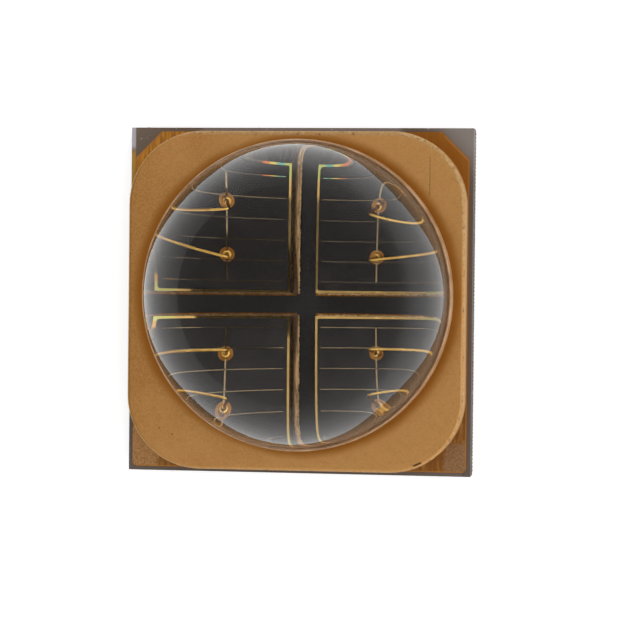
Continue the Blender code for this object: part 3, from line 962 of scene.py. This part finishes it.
def smooth(mesh: Mesh, sharp_degrees: float = 40.0) -> Mesh:
    """Shade a mesh smooth and keep its sharp edges.

    Args:
        mesh: The mesh to shade.
        sharp_degrees: The angle above which an edge stays sharp.

    Returns:
        The same mesh.
    """
    mesh.shade_smooth()
    mesh.set_sharp_from_angle(angle=math.radians(sharp_degrees))
    return mesh


def mesh_from(name: str, bm: bmesh.types.BMesh) -> Mesh:
    """Turn a bmesh into mesh data with outward normals.

    Args:
        name: The mesh's name.
        bm: The bmesh, which is freed.

    Returns:
        The new mesh.
    """
    bmesh.ops.recalc_face_normals(bm, faces=bm.faces)
    mesh = bpy.data.meshes.new(name)
    bm.to_mesh(mesh)
    bm.free()
    return mesh


class GeometryGraph(Graph):
    """Builder over a Geometry Nodes tree with named inputs."""

    def __init__(self, name: str) -> None:
        """Make a tree with a geometry input and output.

        Args:
            name: The tree's name.
        """
        super().__init__(bpy.data.node_groups.new(name, "GeometryNodeTree"))
        for way in ("INPUT", "OUTPUT"):
            self.tree.interface.new_socket("Geometry", in_out=way, socket_type="NodeSocketGeometry")
        self.start, self.end = self.add("NodeGroupInput"), self.add("NodeGroupOutput")
        self.seed = self.start.outputs["Geometry"]

    def take(self, name: str, kind: str = "Float") -> Socket:
        """Add a named input of the tree and return its socket."""
        self.tree.interface.new_socket(name, in_out="INPUT", socket_type=f"NodeSocket{kind}")
        return self.start.outputs[name]

    def vector(self, x: Value = 0.0, y: Value = 0.0, z: Value = 0.0) -> Socket:
        """Return a vector made of three numbers."""
        return self.add("ShaderNodeCombineXYZ", {0: x, 1: y, 2: z}).outputs[0]

    def random(self, low: Point, high: Point, seed: Socket) -> Socket:
        """Return a random vector for each point."""
        links = {0: low, 1: high, "Seed": seed}
        return self.add("FunctionNodeRandomValue", links, data_type="FLOAT_VECTOR").outputs[0]

    def box(self, size: Socket) -> Socket:
        """Return a cuboid of the size given by a vector."""
        return self.add("GeometryNodeMeshCube", {"Size": size}).outputs["Mesh"]

    def ball(self, radius: Socket) -> Socket:
        """Return a small sphere."""
        links = {"Radius": radius, "Subdivisions": 2}
        return self.add("GeometryNodeMeshIcoSphere", links).outputs[0]

    def spaced(self, gap: Socket) -> Socket:
        """Return points at equal distances along the edges that enter the tree."""
        links = {0: self.add("GeometryNodeMeshToCurve", {0: self.seed}).outputs[0], "Length": gap}
        return self.add("GeometryNodeCurveToPoints", links, mode="LENGTH").outputs[0]

    def moved(self, geometry: Socket, offset: Socket) -> Socket:
        """Return geometry moved by a vector."""
        links = {"Geometry": geometry, "Translation": offset}
        return self.add("GeometryNodeTransform", links).outputs[0]

    def instanced(
        self, points: Socket, shape: Socket, turn: Socket | Point = (0.0, 0.0, 0.0),
        scale: Socket | Point = (1.0, 1.0, 1.0),
    ) -> Socket:
        """Return a shape placed on every point."""
        links = {"Points": points, "Instance": shape, "Rotation": turn, "Scale": scale}
        return self.add("GeometryNodeInstanceOnPoints", links).outputs[0]

    def finish(self, geometry: Socket) -> Tree:
        """End the tree with real meshes and the piece's material.

        Args:
            geometry: The output to end with.

        Returns:
            The finished tree.
        """
        real = self.add("GeometryNodeRealizeInstances", {0: geometry}).outputs[0]
        links = {"Geometry": real, "Material": self.take("Finish", "Material")}
        self.feed(self.end.inputs[0], self.add("GeometryNodeSetMaterial", links).outputs[0])
        return self.tree


def grown(
    tree: Tree, name: str, values: dict[str, Any], seed: Mesh | None = None,
) -> Mesh:
    """Run a Geometry Nodes tree and return its plain mesh.

    Args:
        tree: The tree to run.
        name: The new mesh's name.
        values: Values for the tree's named inputs.
        seed: The mesh that enters the tree, if it takes one.

    Returns:
        The mesh that the tree makes.
    """
    carrier = bpy.data.objects.new(name, seed or bpy.data.meshes.new(name))
    bpy.context.scene.collection.objects.link(carrier)
    modifier = carrier.modifiers.new("grow", "NODES")
    modifier.node_group = tree
    for item in tree.interface.items_tree:
        if item.in_out == "INPUT" and item.name in values:
            modifier[item.identifier] = values[item.name]
    graph = bpy.context.evaluated_depsgraph_get()
    mesh = bpy.data.meshes.new_from_object(carrier.evaluated_get(graph))
    mesh.name = name
    carrier.modifiers.remove(modifier)
    bpy.data.objects.remove(carrier, do_unlink=True)
    return mesh


def chain_mesh(name: str, points: Sequence[Point], edges: Sequence[tuple[int, int]]) -> Mesh:
    """Make a mesh of bare edges.

    Args:
        name: The mesh's name.
        points: Its vertices.
        edges: Pairs of their numbers.

    Returns:
        The new mesh.
    """
    mesh = bpy.data.meshes.new(name)
    mesh.from_pydata(points, edges, [])
    return mesh


def turning_tree() -> Tree:
    """Make the tree that turns a profile, a chain of vertices in XZ, about its own axis.

    Returns:
        The tree.
    """
    g = GeometryGraph("turning")
    steps, centre = g.take("Steps", "Int"), g.take("Centre", "Vector")
    count = g.add("GeometryNodeAttributeDomainSize", {0: g.seed}).outputs["Point Count"]
    links = {0: 1.0, 1: 1.0, 2: g.plus(steps, 1.0), 3: count}
    grid = g.add("GeometryNodeMeshGrid", links).outputs[0]
    place = g.add("GeometryNodeInputPosition").outputs[0]
    across, upward, _ = g.add("ShaderNodeSeparateXYZ", {0: place}).outputs
    row = g.math("ROUND", g.times(g.plus(upward, 0.5), g.minus(count, 1.0)))
    links = {"Geometry": g.seed, "Index": row, "Value": place}
    sample = g.add("GeometryNodeSampleIndex", links, data_type="FLOAT_VECTOR").outputs[0]
    links = {"Vector": sample, "Angle": g.times(g.plus(across, 0.5), math.tau)}
    turned = g.add("ShaderNodeVectorRotate", links, rotation_type="Z_AXIS").outputs[0]
    links = {"Geometry": grid, "Position": g.vectors("ADD", turned, centre).outputs[0]}
    links = {"Geometry": g.add("GeometryNodeSetPosition", links).outputs[0], "Distance": WELD}
    return g.finish(g.add("GeometryNodeMergeByDistance", links).outputs[0])


class Lathe:
    """Turns profiles into round pieces with one Geometry Nodes tree."""

    def __init__(self) -> None:
        """Build the tree that all turned pieces share."""
        self.tree = turning_tree()

    def turn(
        self, name: str, profile: Sequence[Range], centre: Vector, steps: int, material: Material,
    ) -> Mesh:
        """Turn a profile of (radius, height) points about an upright axis.

        Args:
            name: The mesh's name.
            profile: Points from one end of the section to the other.
            centre: Where the axis meets height zero.
            steps: Facets round the piece.
            material: The finish that the tree sets.

        Returns:
            The turned mesh with outward normals.
        """
        points = [(radius, 0.0, height) for radius, height in profile]
        chain = chain_mesh(f"{name}_profile", points, [(i, i + 1) for i in range(len(points) - 1)])
        values = {"Steps": steps, "Centre": tuple(centre), "Finish": material}
        bm = bmesh.new()
        bm.from_mesh(grown(self.tree, name, values, chain))
        return smooth(mesh_from(name, bm))


@dataclass
class DomeLens:
    """Glass dome on its flange, and the bond ring that holds it.

    Points of the bead's section are shares of its width and height.
    """

    lathe: Lathe
    flange_thickness: float = 0.30 * MM
    ledge: float = 0.04 * MM
    chamfer: float = 0.008 * MM
    rings: int = 90
    segments: int = 256
    bead_width: float = 0.028 * MM
    bead_height: float = 0.296 * MM
    bead_foot: float = 0.020 * MM
    bead_spread: float = 1.5
    bead_section: tuple[Range, ...] = ((1.0, 0.3), (1.0, 0.93), (0.8, 1.0))
    bead_segments: int = 180
    gap: float = 0.002 * MM

    def profile(self, outer: float, height: float) -> list[Range]:
        """Draw the section of the lens from its crown to the middle of its flat underside.

        Args:
            outer: The flange's radius.
            height: The height of the whole lens.

        Returns:
            Points of radius and height.
        """
        foot = outer - self.chamfer - self.ledge
        rise = height - self.flange_thickness
        sphere = (foot ** 2 + rise ** 2) / (2 * rise)
        middle = height - sphere
        sweep = math.acos((sphere - rise) / sphere)
        angles = [sweep * index / self.rings for index in range(self.rings + 1)]
        dome = [(sphere * math.sin(a), middle + sphere * math.cos(a)) for a in angles]
        return dome + [
            (outer - self.chamfer, self.flange_thickness),
            (outer, self.flange_thickness - self.chamfer),
            (outer, self.chamfer),
            (outer - self.chamfer, 0.0),
            (0.0, 0.0),
        ]

    def build(self) -> None:
        """Make the lens and dress the bond ring."""
        span = Span.of("dome_lens")
        centre = Vector((span.centre.x, span.centre.y, span.low.z))
        glass, outer = CoatedGlass().build(), span.size.x / 2
        profile = self.profile(outer, span.size.z)
        mesh = self.lathe.turn("polished_dome", profile, centre, self.segments, glass)
        new_piece("polished_dome", mesh, glass, ["dome_lens"])
        bond = Adhesive().build()
        dress_nodes(bond, "adhesive", "lens_bond")
        self.add_bead(centre, outer, bond)

    def add_bead(self, centre: Vector, outer: float, bond: Material) -> None:
        """Turn the bead of cured adhesive that climbs the edge of the flange.

        Args:
            centre: The middle of the lens's underside.
            outer: The flange's radius.
            bond: The adhesive.
        """
        low, high, width = -self.bead_foot, self.bead_height, self.bead_width
        inner = outer + self.gap
        profile = [(inner, low), (outer + width * self.bead_spread, low)]
        profile += [(outer + width * out, high * up) for out, up in self.bead_section]
        profile += [(inner, high), (inner, low)]
        mesh = self.lathe.turn("flange_bead", profile, centre, self.bead_segments, bond)
        new_piece("flange_bead", mesh, bond)


@dataclass
class SealFrame:
    """Rounded square frame with a soft upper edge and a round bore."""

    corner: float = 1.48 * MM
    edge_round: float = 0.07 * MM
    bore: float = 2.78 * MM
    bore_edge: float = 0.02 * MM
    steps: int = 360
    edge_steps: int = 8

    def reach(self, angle: float, inset: float, half: float) -> float:
        """Measure from the middle to the outline along a direction.

        Args:
            angle: The direction, in radians from +X.
            inset: How far the outline lies inside the frame's own outline.
            half: Half of the frame's width.

        Returns:
            The distance in metres.
        """
        c, s = abs(math.cos(angle)), abs(math.sin(angle))
        side, radius = half - inset, self.corner - inset
        flat = side - radius
        if min(c, s) * side <= max(c, s) * flat:
            return side / max(c, s)
        along = flat * (c + s)
        return along + math.sqrt(along ** 2 - (2 * flat ** 2 - radius ** 2))

    def build(self) -> None:
        """Make the frame as a loft of rings from its outer wall to its bore."""
        span, axis = Span.of("metal_frame"), Span.of("dome_lens").centre
        half, low, high = span.size.x / 2, span.low.z, span.high.z
        levels = [(0.0, low)]
        for index in range(self.edge_steps + 1):
            turn = math.pi / 2 * index / self.edge_steps
            rise = self.edge_round * (1 - math.sin(turn))
            levels.append((self.edge_round * (1 - math.cos(turn)), high - rise))
        angles = [math.tau * index / self.steps for index in range(self.steps)]
        rings = []
        for inset, height in levels:
            reach = [(self.reach(a, inset, half), a) for a in angles]
            rings.append([(r * math.cos(a), r * math.sin(a), height) for r, a in reach])
        edge = self.bore_edge
        bores = (self.bore + edge, high), (self.bore, high - edge), (self.bore, low)
        for radius, height in bores:
            around = [(radius * math.cos(a), radius * math.sin(a)) for a in angles]
            rings.append([(axis.x + x, axis.y + y, height) for x, y in around])
        bm = bmesh.new()
        loft = [[bm.verts.new(point) for point in ring] for ring in rings]
        for inner, outer in zip(loft, loft[1:] + loft[:1]):
            for index in range(self.steps):
                after = (index + 1) % self.steps
                bm.faces.new((inner[index], inner[after], outer[after], outer[index]))
        mesh = smooth(mesh_from("satin_frame", bm), sharp_degrees=35.0)
        new_piece("satin_frame", mesh, SatinGold().build(), ["metal_frame"])


def grid_tree() -> Tree:
    """Make the tree that lays fingers across a bus.

    Returns:
        The tree.
    """
    g = GeometryGraph("contact_grid")
    count, centre = g.take("Fingers", "Int"), g.take("Centre", "Vector")
    length, width, pitch, bus, thick = map(g.take, ("Length", "Width", "Pitch", "Bus", "Thickness"))
    line = g.add("GeometryNodeMeshLine", {"Count": count, "Offset": g.vector(y=pitch)}).outputs[0]
    drop = g.times(g.minus(count, 1.0), g.times(pitch, -0.5))
    fingers = g.instanced(g.moved(line, g.vector(y=drop)), g.box(g.vector(length, width, thick)))
    run = g.plus(g.times(drop, -2.0), width)
    whole = g.add("GeometryNodeJoinGeometry")
    for part in (fingers, g.box(g.vector(bus, run, thick))):
        g.feed(whole.inputs[0], part)
    return g.finish(g.moved(whole.outputs[0], centre))


def bead_tree() -> Tree:
    """Make the tree that strings uneven beads along the edges that enter it.

    Returns:
        The tree.
    """
    g = GeometryGraph("solder_beads")
    spacing, size, seed = g.take("Spacing"), g.take("Size"), g.take("Seed", "Int")
    turn = g.random((0.0, 0.0, 0.0), (0.5, 0.5, math.tau), g.plus(seed, 1.0))
    scale = g.random((0.6, 0.6, 0.3), (1.7, 1.3, 0.6), g.plus(seed, 2.0))
    jitter = g.random((-0.4, -0.4, 0.0), (0.4, 0.4, 0.0), g.plus(seed, 3.0))
    links = {0: jitter, "Scale": size}
    shift = g.add("ShaderNodeVectorMath", links, operation="SCALE").outputs[0]
    links = {"Geometry": g.spaced(spacing), "Offset": shift}
    points = g.add("GeometryNodeSetPosition", links).outputs[0]
    return g.finish(g.instanced(points, g.ball(size), turn, scale))


def crumb_tree() -> Tree:
    """Make the tree that scatters flat crumbs over the faces that enter it.

    Returns:
        The tree.
    """
    g = GeometryGraph("edge_crumbs")
    density, size, seed = g.take("Density"), g.take("Size"), g.take("Seed", "Int")
    links = {"Mesh": g.seed, "Density": density, "Seed": seed}
    spread = g.add("GeometryNodeDistributePointsOnFaces", links).outputs
    scale = g.random((0.4, 0.4, 0.15), (1.5, 2.4, 0.3), seed)
    return g.finish(g.instanced(spread[0], g.ball(size), spread["Rotation"], scale))


def rib_tree() -> Tree:
    """Make the tree that stands ribs, as a laser scribe leaves, along the edges that enter it.

    Returns:
        The tree.
    """
    g = GeometryGraph("scribe_ribs")
    pitch, radius, depth = map(g.take, ("Pitch", "Radius", "Depth"))
    links = {"Vertices": 10, "Radius": radius, "Depth": depth}
    rib = g.add("GeometryNodeMeshCylinder", links).outputs["Mesh"]
    return g.finish(g.instanced(g.spaced(pitch), rib))


@dataclass
class BondedWire:
    """Ball bond, wire loop and stitch bond.

    Points of the ball's section are shares of its radius and height, and those of its neck are
    shares of the neck's radius and the ball's height.
    """

    lathe: Lathe
    material: Material
    radius: float = 0.019 * MM
    ball_radius: float = 0.052 * MM
    ball_height: float = 0.034 * MM
    ball: tuple[Range, ...] = (
        (0.0, 0.0), (0.9, 0.0), (1.0, 0.25), (1.0, 0.5), (0.86, 0.75), (0.62, 0.82),
    )
    neck: tuple[Range, ...] = ((1.3, 1.0), (1.0, 1.6), (0.0, 1.6))
    neck_share: float = 1.15
    ball_steps: int = 28
    rise: float = 0.29 * MM
    lean: float = 0.03 * MM
    bend: float = 0.06 * MM
    straight: float = 0.55
    tightness: float = 0.3
    falling: tuple[float, ...] = (0.25, 0.45, 0.62, 0.76, 0.87, 0.95)
    steepness: float = 2.6
    stitch: Point = (0.055 * MM, 0.038 * MM, 0.010 * MM)
    stitch_steps: tuple[int, int] = (20, 10)
    sides: int = 5
    order: int = 4
    resolution: int = 6

    def route(self, start: Vector, end: Vector) -> list[Vector]:
        """Lead the wire straight up from its ball, round a tight bend and down to its landing.

        Args:
            start: The top face of its bond spot.
            end: The wire's last point.

        Returns:
            Points along the wire.
        """
        top = start + Vector((self.lean, 0.0, self.rise))
        level = Vector((end.x - start.x, end.y - start.y, 0.0))
        ahead = level.normalized()
        below = Vector((0.0, 0.0, self.bend * self.tightness))
        shares = (0.0, self.straight, 1 - self.bend / self.rise)
        points = [start.lerp(top, share) for share in shares]
        points.append(top - below + ahead * self.bend * self.tightness)
        points.append(top + ahead * self.bend)
        for share in self.falling:
            drop = (top.z - end.z) * share ** self.steepness
            points.append(Vector((*(start + level * share).xy, top.z - drop)))
        return [*points, end]

    def tube(self, name: str, points: Sequence[Vector]) -> Mesh:
        """Draw a round tube along smooth points.

        Args:
            name: The name of its data.
            points: Points along the tube.

        Returns:
            The tube's mesh.
        """
        curve = bpy.data.curves.new(name, "CURVE")
        curve.dimensions = "3D"
        curve.bevel_depth = self.radius
        curve.bevel_resolution = self.sides
        curve.use_fill_caps = True
        spline = curve.splines.new("NURBS")
        spline.points.add(len(points) - 1)
        spline.use_endpoint_u = True
        spline.order_u = self.order
        spline.resolution_u = self.resolution
        for target, point in zip(spline.points, points):
            target.co = (*point, 1.0)
        carrier = bpy.data.objects.new(name, curve)
        mesh = bpy.data.meshes.new_from_object(carrier)
        bpy.data.objects.remove(carrier)
        return mesh

    def build(self, name: str, start: Vector, end: Vector) -> None:
        """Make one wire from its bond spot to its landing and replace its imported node.

        Args:
            name: The wire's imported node.
            start: The top face of its bond spot.
            end: The top face of its landing.
        """
        points = self.route(start, end + Vector((0.0, 0.0, self.radius)))
        bm = bmesh.new()
        bm.from_mesh(self.tube(name, points))
        neck = self.radius * self.neck_share
        profile = [(self.ball_radius * out, self.ball_height * up) for out, up in self.ball]
        profile += [(neck * out, self.ball_height * up) for out, up in self.neck]
        ball = self.lathe.turn(f"{name}_ball", profile, start, self.ball_steps, self.material)
        bm.from_mesh(ball)
        foot = bmesh.new()
        around, upward = self.stitch_steps
        bmesh.ops.create_uvsphere(foot, u_segments=around, v_segments=upward, radius=1.0)
        bmesh.ops.scale(foot, vec=self.stitch, verts=foot.verts)
        bmesh.ops.translate(foot, vec=end + Vector((0.0, 0.0, self.stitch[2])), verts=foot.verts)
        bm.from_mesh(mesh_from(f"{name}_foot", foot))
        mesh = smooth(mesh_from(f"gold_{name}", bm), sharp_degrees=60.0)
        new_piece(f"gold_{name}", mesh, self.material, [name])


@dataclass
class DieArray:
    """Contact grids, wires and solder beads of the four dies."""

    lathe: Lathe
    fingers: int = 6
    finger_width: float = 0.010 * MM
    finger_margin: float = 0.07 * MM
    finger_side_margin: float = 0.135 * MM
    bus: float = 0.019 * MM
    spot_radius: float = 0.086 * MM
    spot_offset: float = 0.306 * MM
    spot_ripple: float = 0.0015 * MM
    spot_wall: float = 0.7
    spot_steps: int = 40
    ripple_steps: int = 16
    ripple_waves: int = 5
    landing_x: float = 1.93 * MM
    bead: float = 0.012 * MM
    bead_raised: float = 0.3
    bead_spacing: float = 0.011 * MM
    flash_rows: int = 4
    flash_step: float = 0.0135 * MM

    def build(self) -> None:
        """Dress the stack of each die and add its grid, beads and wires."""
        self.dress_stack()
        # Painted dark reflection: upper and lower are the shares of brightness kept above and below
        # the middle.
        grid_gold = MirrorGold(
            "grid_gold", (0.46, 0.34, 0.19), (0.34, 0.245, 0.135), upper=0.28, lower=0.68, matt=0.8,
        ).build()
        spot_gold = GrainyMetal(
            "spot_gold", (0.46, 0.215, 0.055), (0.34, 0.145, 0.03), roughness=0.34, depth_mm=0.0005,
        ).build()
        bead_gold = FlashedSolder().build()
        wire = BondedWire(self.lathe, BondWire().build())
        grid, beads = grid_tree(), bead_tree()
        for number, quadrant in enumerate(Quadrant):
            self.add_grid(quadrant, grid, grid_gold)
            self.add_spots(quadrant, spot_gold)
            self.add_beads(quadrant, beads, bead_gold, number)
            self.add_wires(quadrant, wire)

    def dress_stack(self) -> None:
        """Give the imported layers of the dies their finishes."""
        solder = GrainyMetal(
            "gold_tin_solder", (0.62, 0.42, 0.24), (0.30, 0.19, 0.11),
            roughness=0.38, grain_per_mm=35.0,
        )
        # Painted dark reflection: upper, lower and level are the shares of brightness kept above,
        # below and at the sides.
        border = MirrorGold(
            "border_gold", (0.88, 0.58, 0.20), (0.74, 0.46, 0.15),
            upper=0.22, lower=0.62, level=0.72,
        )
        dress_nodes(solder.build(), "solder", "die_solder")
        dress_nodes(border.build(), "border_gold", "back_metal")
        dress_nodes(SawnDie().build(), "die_body", "die_body")
        dress_nodes(DarkEmitter().build(), "emitter", "emitter_mesa")

    def add_grid(self, quadrant: Quadrant, tree: Tree, gold: Material) -> None:
        """Lay the contact grid of one die.

        Args:
            quadrant: The die.
            tree: The tree that lays it.
            gold: Its finish.
        """
        node = f"contact_grid_{quadrant.label}"
        span, width = quadrant.span("contact_grid"), quadrant.span("die_body").size.x
        values = {
            "Fingers": self.fingers, "Length": width - 2 * self.finger_margin,
            "Width": self.finger_width, "Bus": self.bus, "Thickness": span.size.z,
            "Pitch": (width - 2 * self.finger_side_margin) / (self.fingers - 1),
            "Centre": tuple(span.centre), "Finish": gold,
        }
        mesh = grown(tree, f"fine_{node}", values)
        new_piece(f"fine_{node}", mesh, gold, [node])

    def add_spots(self, quadrant: Quadrant, gold: Material) -> None:
        """Turn the two rippled bond spots of one die.

        Args:
            quadrant: The die.
            gold: Their finish.
        """
        span = quadrant.span("contact_grid")
        top = span.size.z
        profile = [(0.0, 0.0), (self.spot_radius, 0.0), (self.spot_radius, top * self.spot_wall)]
        for index in range(self.ripple_steps):
            share = 1 - (index + 0.5) / (self.ripple_steps + 1)
            wave = self.spot_ripple * math.cos(share * self.ripple_waves * math.tau)
            profile.append((self.spot_radius * share, top - self.spot_ripple + wave))
        profile.append((0.0, top - self.spot_ripple))
        bm = bmesh.new()
        for name, sign in (("upper", 1), ("lower", -1)):
            place = Vector((span.centre.x, span.centre.y + sign * self.spot_offset, span.low.z))
            bm.from_mesh(self.lathe.turn(f"spot_{name}", profile, place, self.spot_steps, gold))
        name = f"bond_spots_{quadrant.label}"
        new_piece(name, smooth(mesh_from(name, bm), sharp_degrees=60.0), gold)

    def add_beads(
        self, quadrant: Quadrant, tree: Tree, gold: Material, seed: int,
    ) -> None:
        """String rough beads of reflowed metal round the foot of one die.

        Args:
            quadrant: The die.
            tree: The tree that strings them.
            gold: Their finish.
            seed: The number that sets their random shapes.
        """
        die, pad = quadrant.span("die_body"), quadrant.span("die_pad")
        half = die.size.x / 2 + self.bead
        corners = [(-half, -half), (half, -half), (half, half), (-half, half)]
        edges = [(i, (i + 1) % 4) for i in range(4)]
        if quadrant.side < 0:
            for row in range(1, self.flash_rows + 1):
                reach = half + row * self.flash_step
                edges.append((len(corners), len(corners) + 1))
                corners += [(reach, -half), (reach, half)]
        x, y, z = die.centre.x, die.centre.y, pad.high.z + self.bead * self.bead_raised
        outline = chain_mesh("die_outline", [(x + dx, y + dy, z) for dx, dy in corners], edges)
        values = {"Spacing": self.bead_spacing, "Size": self.bead, "Seed": seed, "Finish": gold}
        mesh = smooth(grown(tree, f"solder_beads_{quadrant.label}", values, outline))
        new_piece(f"solder_beads_{quadrant.label}", mesh, gold)

    def add_wires(self, quadrant: Quadrant, wire: BondedWire) -> None:
        """Run both wires of one die.

        Args:
            quadrant: The die.
            wire: The maker of its wires.
        """
        die = quadrant.span("die_body").centre
        top = quadrant.span("contact_grid").high.z
        pad = quadrant.span("wire_pad").high.z
        for place, sign, drift in zip(("upper", "lower"), (1, -1), quadrant.drifts):
            y = die.y + sign * self.spot_offset
            start = Vector((die.x, y, top))
            end = Vector((quadrant.side * self.landing_x, y + drift, pad))
            wire.build(f"bond_wire_{quadrant.label}_{place}", start, end)


@dataclass
class CeramicBase:
    """Base with its scribed edges, fired pads, plugs and underside pads."""

    scribe_pitch: float = 0.075 * MM
    rib_radius: float = 0.030 * MM
    rib_sunk: float = 0.018 * MM
    rib_depth: float = 0.24 * MM
    rib_foot: float = 0.02 * MM
    crumb: float = 0.022 * MM
    crumbs_per_mm2: float = 9.0
    crumb_seed: int = 4

    def build(self) -> None:
        """Dress the base and its metal, and roughen its four sides."""
        dress_nodes(Ceramic().build(), "ceramic", "ceramic_base")
        dress_nodes(CircuitGold().build(), "circuit_gold", "seal_pad", "die_pad", "wire_pad")
        plug = GrainyMetal("plug_metal", (0.5, 0.42, 0.30), (0.26, 0.21, 0.15), roughness=0.5)
        dress_nodes(plug.build(), "via_metal", "wire_via", "die_via")
        dress_nodes(PlatedPad().build(), "pad_gold", "thermal_pad", "anode_pad", "cathode_pad")
        edge = BrokenEdge().build()
        self.add_ribs(edge)
        self.add_crumbs(edge)

    def add_ribs(self, edge: Material) -> None:
        """Stand the scribe's ribs in the lower half of each side.

        Args:
            edge: Their finish.
        """
        span = Span.of("ceramic_base")
        half = span.size.x / 2 - self.rib_sunk
        run = half - self.scribe_pitch
        z = span.low.z + self.rib_depth / 2 + self.rib_foot
        points = [
            (-run, -half, z), (run, -half, z), (-run, half, z), (run, half, z),
            (-half, -run, z), (-half, run, z), (half, -run, z), (half, run, z),
        ]
        path = chain_mesh("scribe_lines", points, [(i, i + 1) for i in range(0, 8, 2)])
        values = {
            "Pitch": self.scribe_pitch, "Radius": self.rib_radius,
            "Depth": self.rib_depth, "Finish": edge,
        }
        mesh = smooth(grown(rib_tree(), "scribe_ribs", values, path))
        new_piece("scribe_ribs", mesh, edge)

    def add_crumbs(self, edge: Material) -> None:
        """Scatter crumbs over the four snapped sides.

        Args:
            edge: Their finish.
        """
        span = Span.of("ceramic_base")
        half, low, high = span.size.x / 2, span.low.z + self.crumb, span.high.z - self.crumb
        corners = [(-half, -half), (half, -half), (half, half), (-half, half)]
        sides = bpy.data.meshes.new("snapped_sides")
        points = [(x, y, z) for x, y in corners for z in (low, high)]
        quads = [(2 * i, (2 * i + 2) % 8, (2 * i + 3) % 8, 2 * i + 1) for i in range(4)]
        sides.from_pydata(points, [], quads)
        values = {
            "Density": self.crumbs_per_mm2 / MM ** 2, "Size": self.crumb,
            "Seed": self.crumb_seed, "Finish": edge,
        }
        mesh = smooth(grown(crumb_tree(), "edge_crumbs", values, sides))
        new_piece("edge_crumbs", mesh, edge)


@dataclass
class Studio:
    """Pale table, soft sky and the camera above the emitter."""

    table_half: float = 1.2
    table_white: Colour = (0.86, 0.86, 0.86)
    table_glow: float = 0.52
    light: Colour = (1.0, 1.0, 1.0)
    sky: float = 1.0
    side_gain: float = 0.48
    left_shade: float = 0.60
    left_span: Range = (-0.85, -0.30)
    dark_disc: float = 0.04
    disc_tilt_degrees: float = 4.9
    disc_lean_degrees: float = -1.2
    disc_degrees: float = 12.0
    disc_soft_degrees: float = 1.5
    distance: float = 50.0 * MM
    tilt_degrees: float = 8.5
    lean_degrees: float = 0.8
    roll_degrees: float = 0.6
    view_width: float = 12.89 * MM
    sensor: float = 36.0
    aim: Point = (0.0, 0.0, 0.9 * MM)
    shift: Range = (0.0357, -0.0299)
    clip: Range = (1.0 * MM, 10.0)

    @staticmethod
    def direction(tilt_degrees: float, lean_degrees: float) -> Vector:
        """Tilt the upright direction towards +X and lean it towards +Y.

        Args:
            tilt_degrees: The tilt.
            lean_degrees: The lean.

        Returns:
            The direction, of length 1.
        """
        tilt, lean = math.radians(tilt_degrees), math.radians(lean_degrees)
        x, y, z = math.sin(tilt) * math.cos(lean), math.sin(lean), math.cos(tilt) * math.cos(lean)
        return Vector((x, y, z))

    def build(self) -> None:
        """Make the table, the sky and the camera."""
        self.add_table()
        self.add_sky()
        self.add_camera()

    def add_table(self) -> None:
        """Lay the pale table, which glows a little wherever it is seen, mirrored or refracted."""
        bm = bmesh.new()
        bmesh.ops.create_grid(bm, x_segments=1, y_segments=1, size=self.table_half)
        table = bpy.data.objects.new("studio_table", mesh_from("studio_table", bm))
        s = Shading("pale_table")
        path = s.add("ShaderNodeLightPath").outputs
        shown = s.larger(path["Is Camera Ray"], path["Is Glossy Ray"])
        lift = s.times(s.larger(shown, path["Is Transmission Ray"]), self.table_glow)
        diffuse = s.add("ShaderNodeBsdfDiffuse", {0: self.table_white}).outputs[0]
        glow = s.add("ShaderNodeEmission", {0: self.light, "Strength": lift}).outputs[0]
        both = s.add("ShaderNodeAddShader", {0: diffuse, 1: glow})
        s.feed(s.out.inputs[0], both.outputs[0])
        table.data.materials.append(s.material)
        bpy.context.scene.collection.objects.link(table)

    def add_sky(self) -> None:
        """Light everything from a soft white sky with the dark camera in it."""
        world = bpy.data.worlds.new("studio_sky")
        world.use_nodes = True
        bpy.context.scene.world = world
        g = Graph(world.node_tree)
        g.tree.nodes.clear()
        ray = g.add("ShaderNodeTexCoord").outputs["Generated"]
        centre = self.direction(self.disc_tilt_degrees, self.disc_lean_degrees)
        facing = g.vectors("DOT_PRODUCT", ray, tuple(centre)).outputs["Value"]
        inner = math.cos(math.radians(self.disc_degrees))
        outer = math.cos(math.radians(self.disc_degrees + self.disc_soft_degrees))
        across = g.add("ShaderNodeSeparateXYZ", {0: ray}).outputs[0]
        open_sky = g.plus(self.sky, g.times(across, self.side_gain))
        open_sky = g.times(open_sky, g.step(across, *self.left_span, self.left_shade))
        level = g.step(facing, outer, inner, open_sky, self.dark_disc)
        shade = g.add("ShaderNodeBackground", {0: self.light, "Strength": level})
        g.add("ShaderNodeOutputWorld", {0: shade.outputs[0]})

    def add_camera(self) -> None:
        """Hang the camera over the emitter, a little to its right."""
        data = bpy.data.cameras.new("studio_camera")
        camera = bpy.data.objects.new("studio_camera", data)
        bpy.context.scene.collection.objects.link(camera)
        back = self.direction(self.tilt_degrees, self.lean_degrees)
        camera.location = Vector(self.aim) + back * self.distance
        roll = Matrix.Rotation(math.radians(self.roll_degrees), 3, back)
        right = roll @ Vector((0.0, 1.0, 0.0)).cross(back).normalized()
        camera.rotation_euler = Matrix((right, back.cross(right), back)).transposed().to_euler()
        data.sensor_width = self.sensor
        data.lens = self.sensor * self.distance / self.view_width
        data.shift_x, data.shift_y = self.shift
        data.clip_start, data.clip_end = self.clip
        bpy.context.scene.camera = camera


def main() -> None:
    """Build the emitter's pieces in order, then the studio."""
    lathe = Lathe()
    CeramicBase().build()
    SealFrame().build()
    DieArray(lathe).build()
    DomeLens(lathe).build()
    Studio().build()
    bpy.context.scene.view_settings.view_transform = "Standard"


if __name__ == "__main__":
    main()
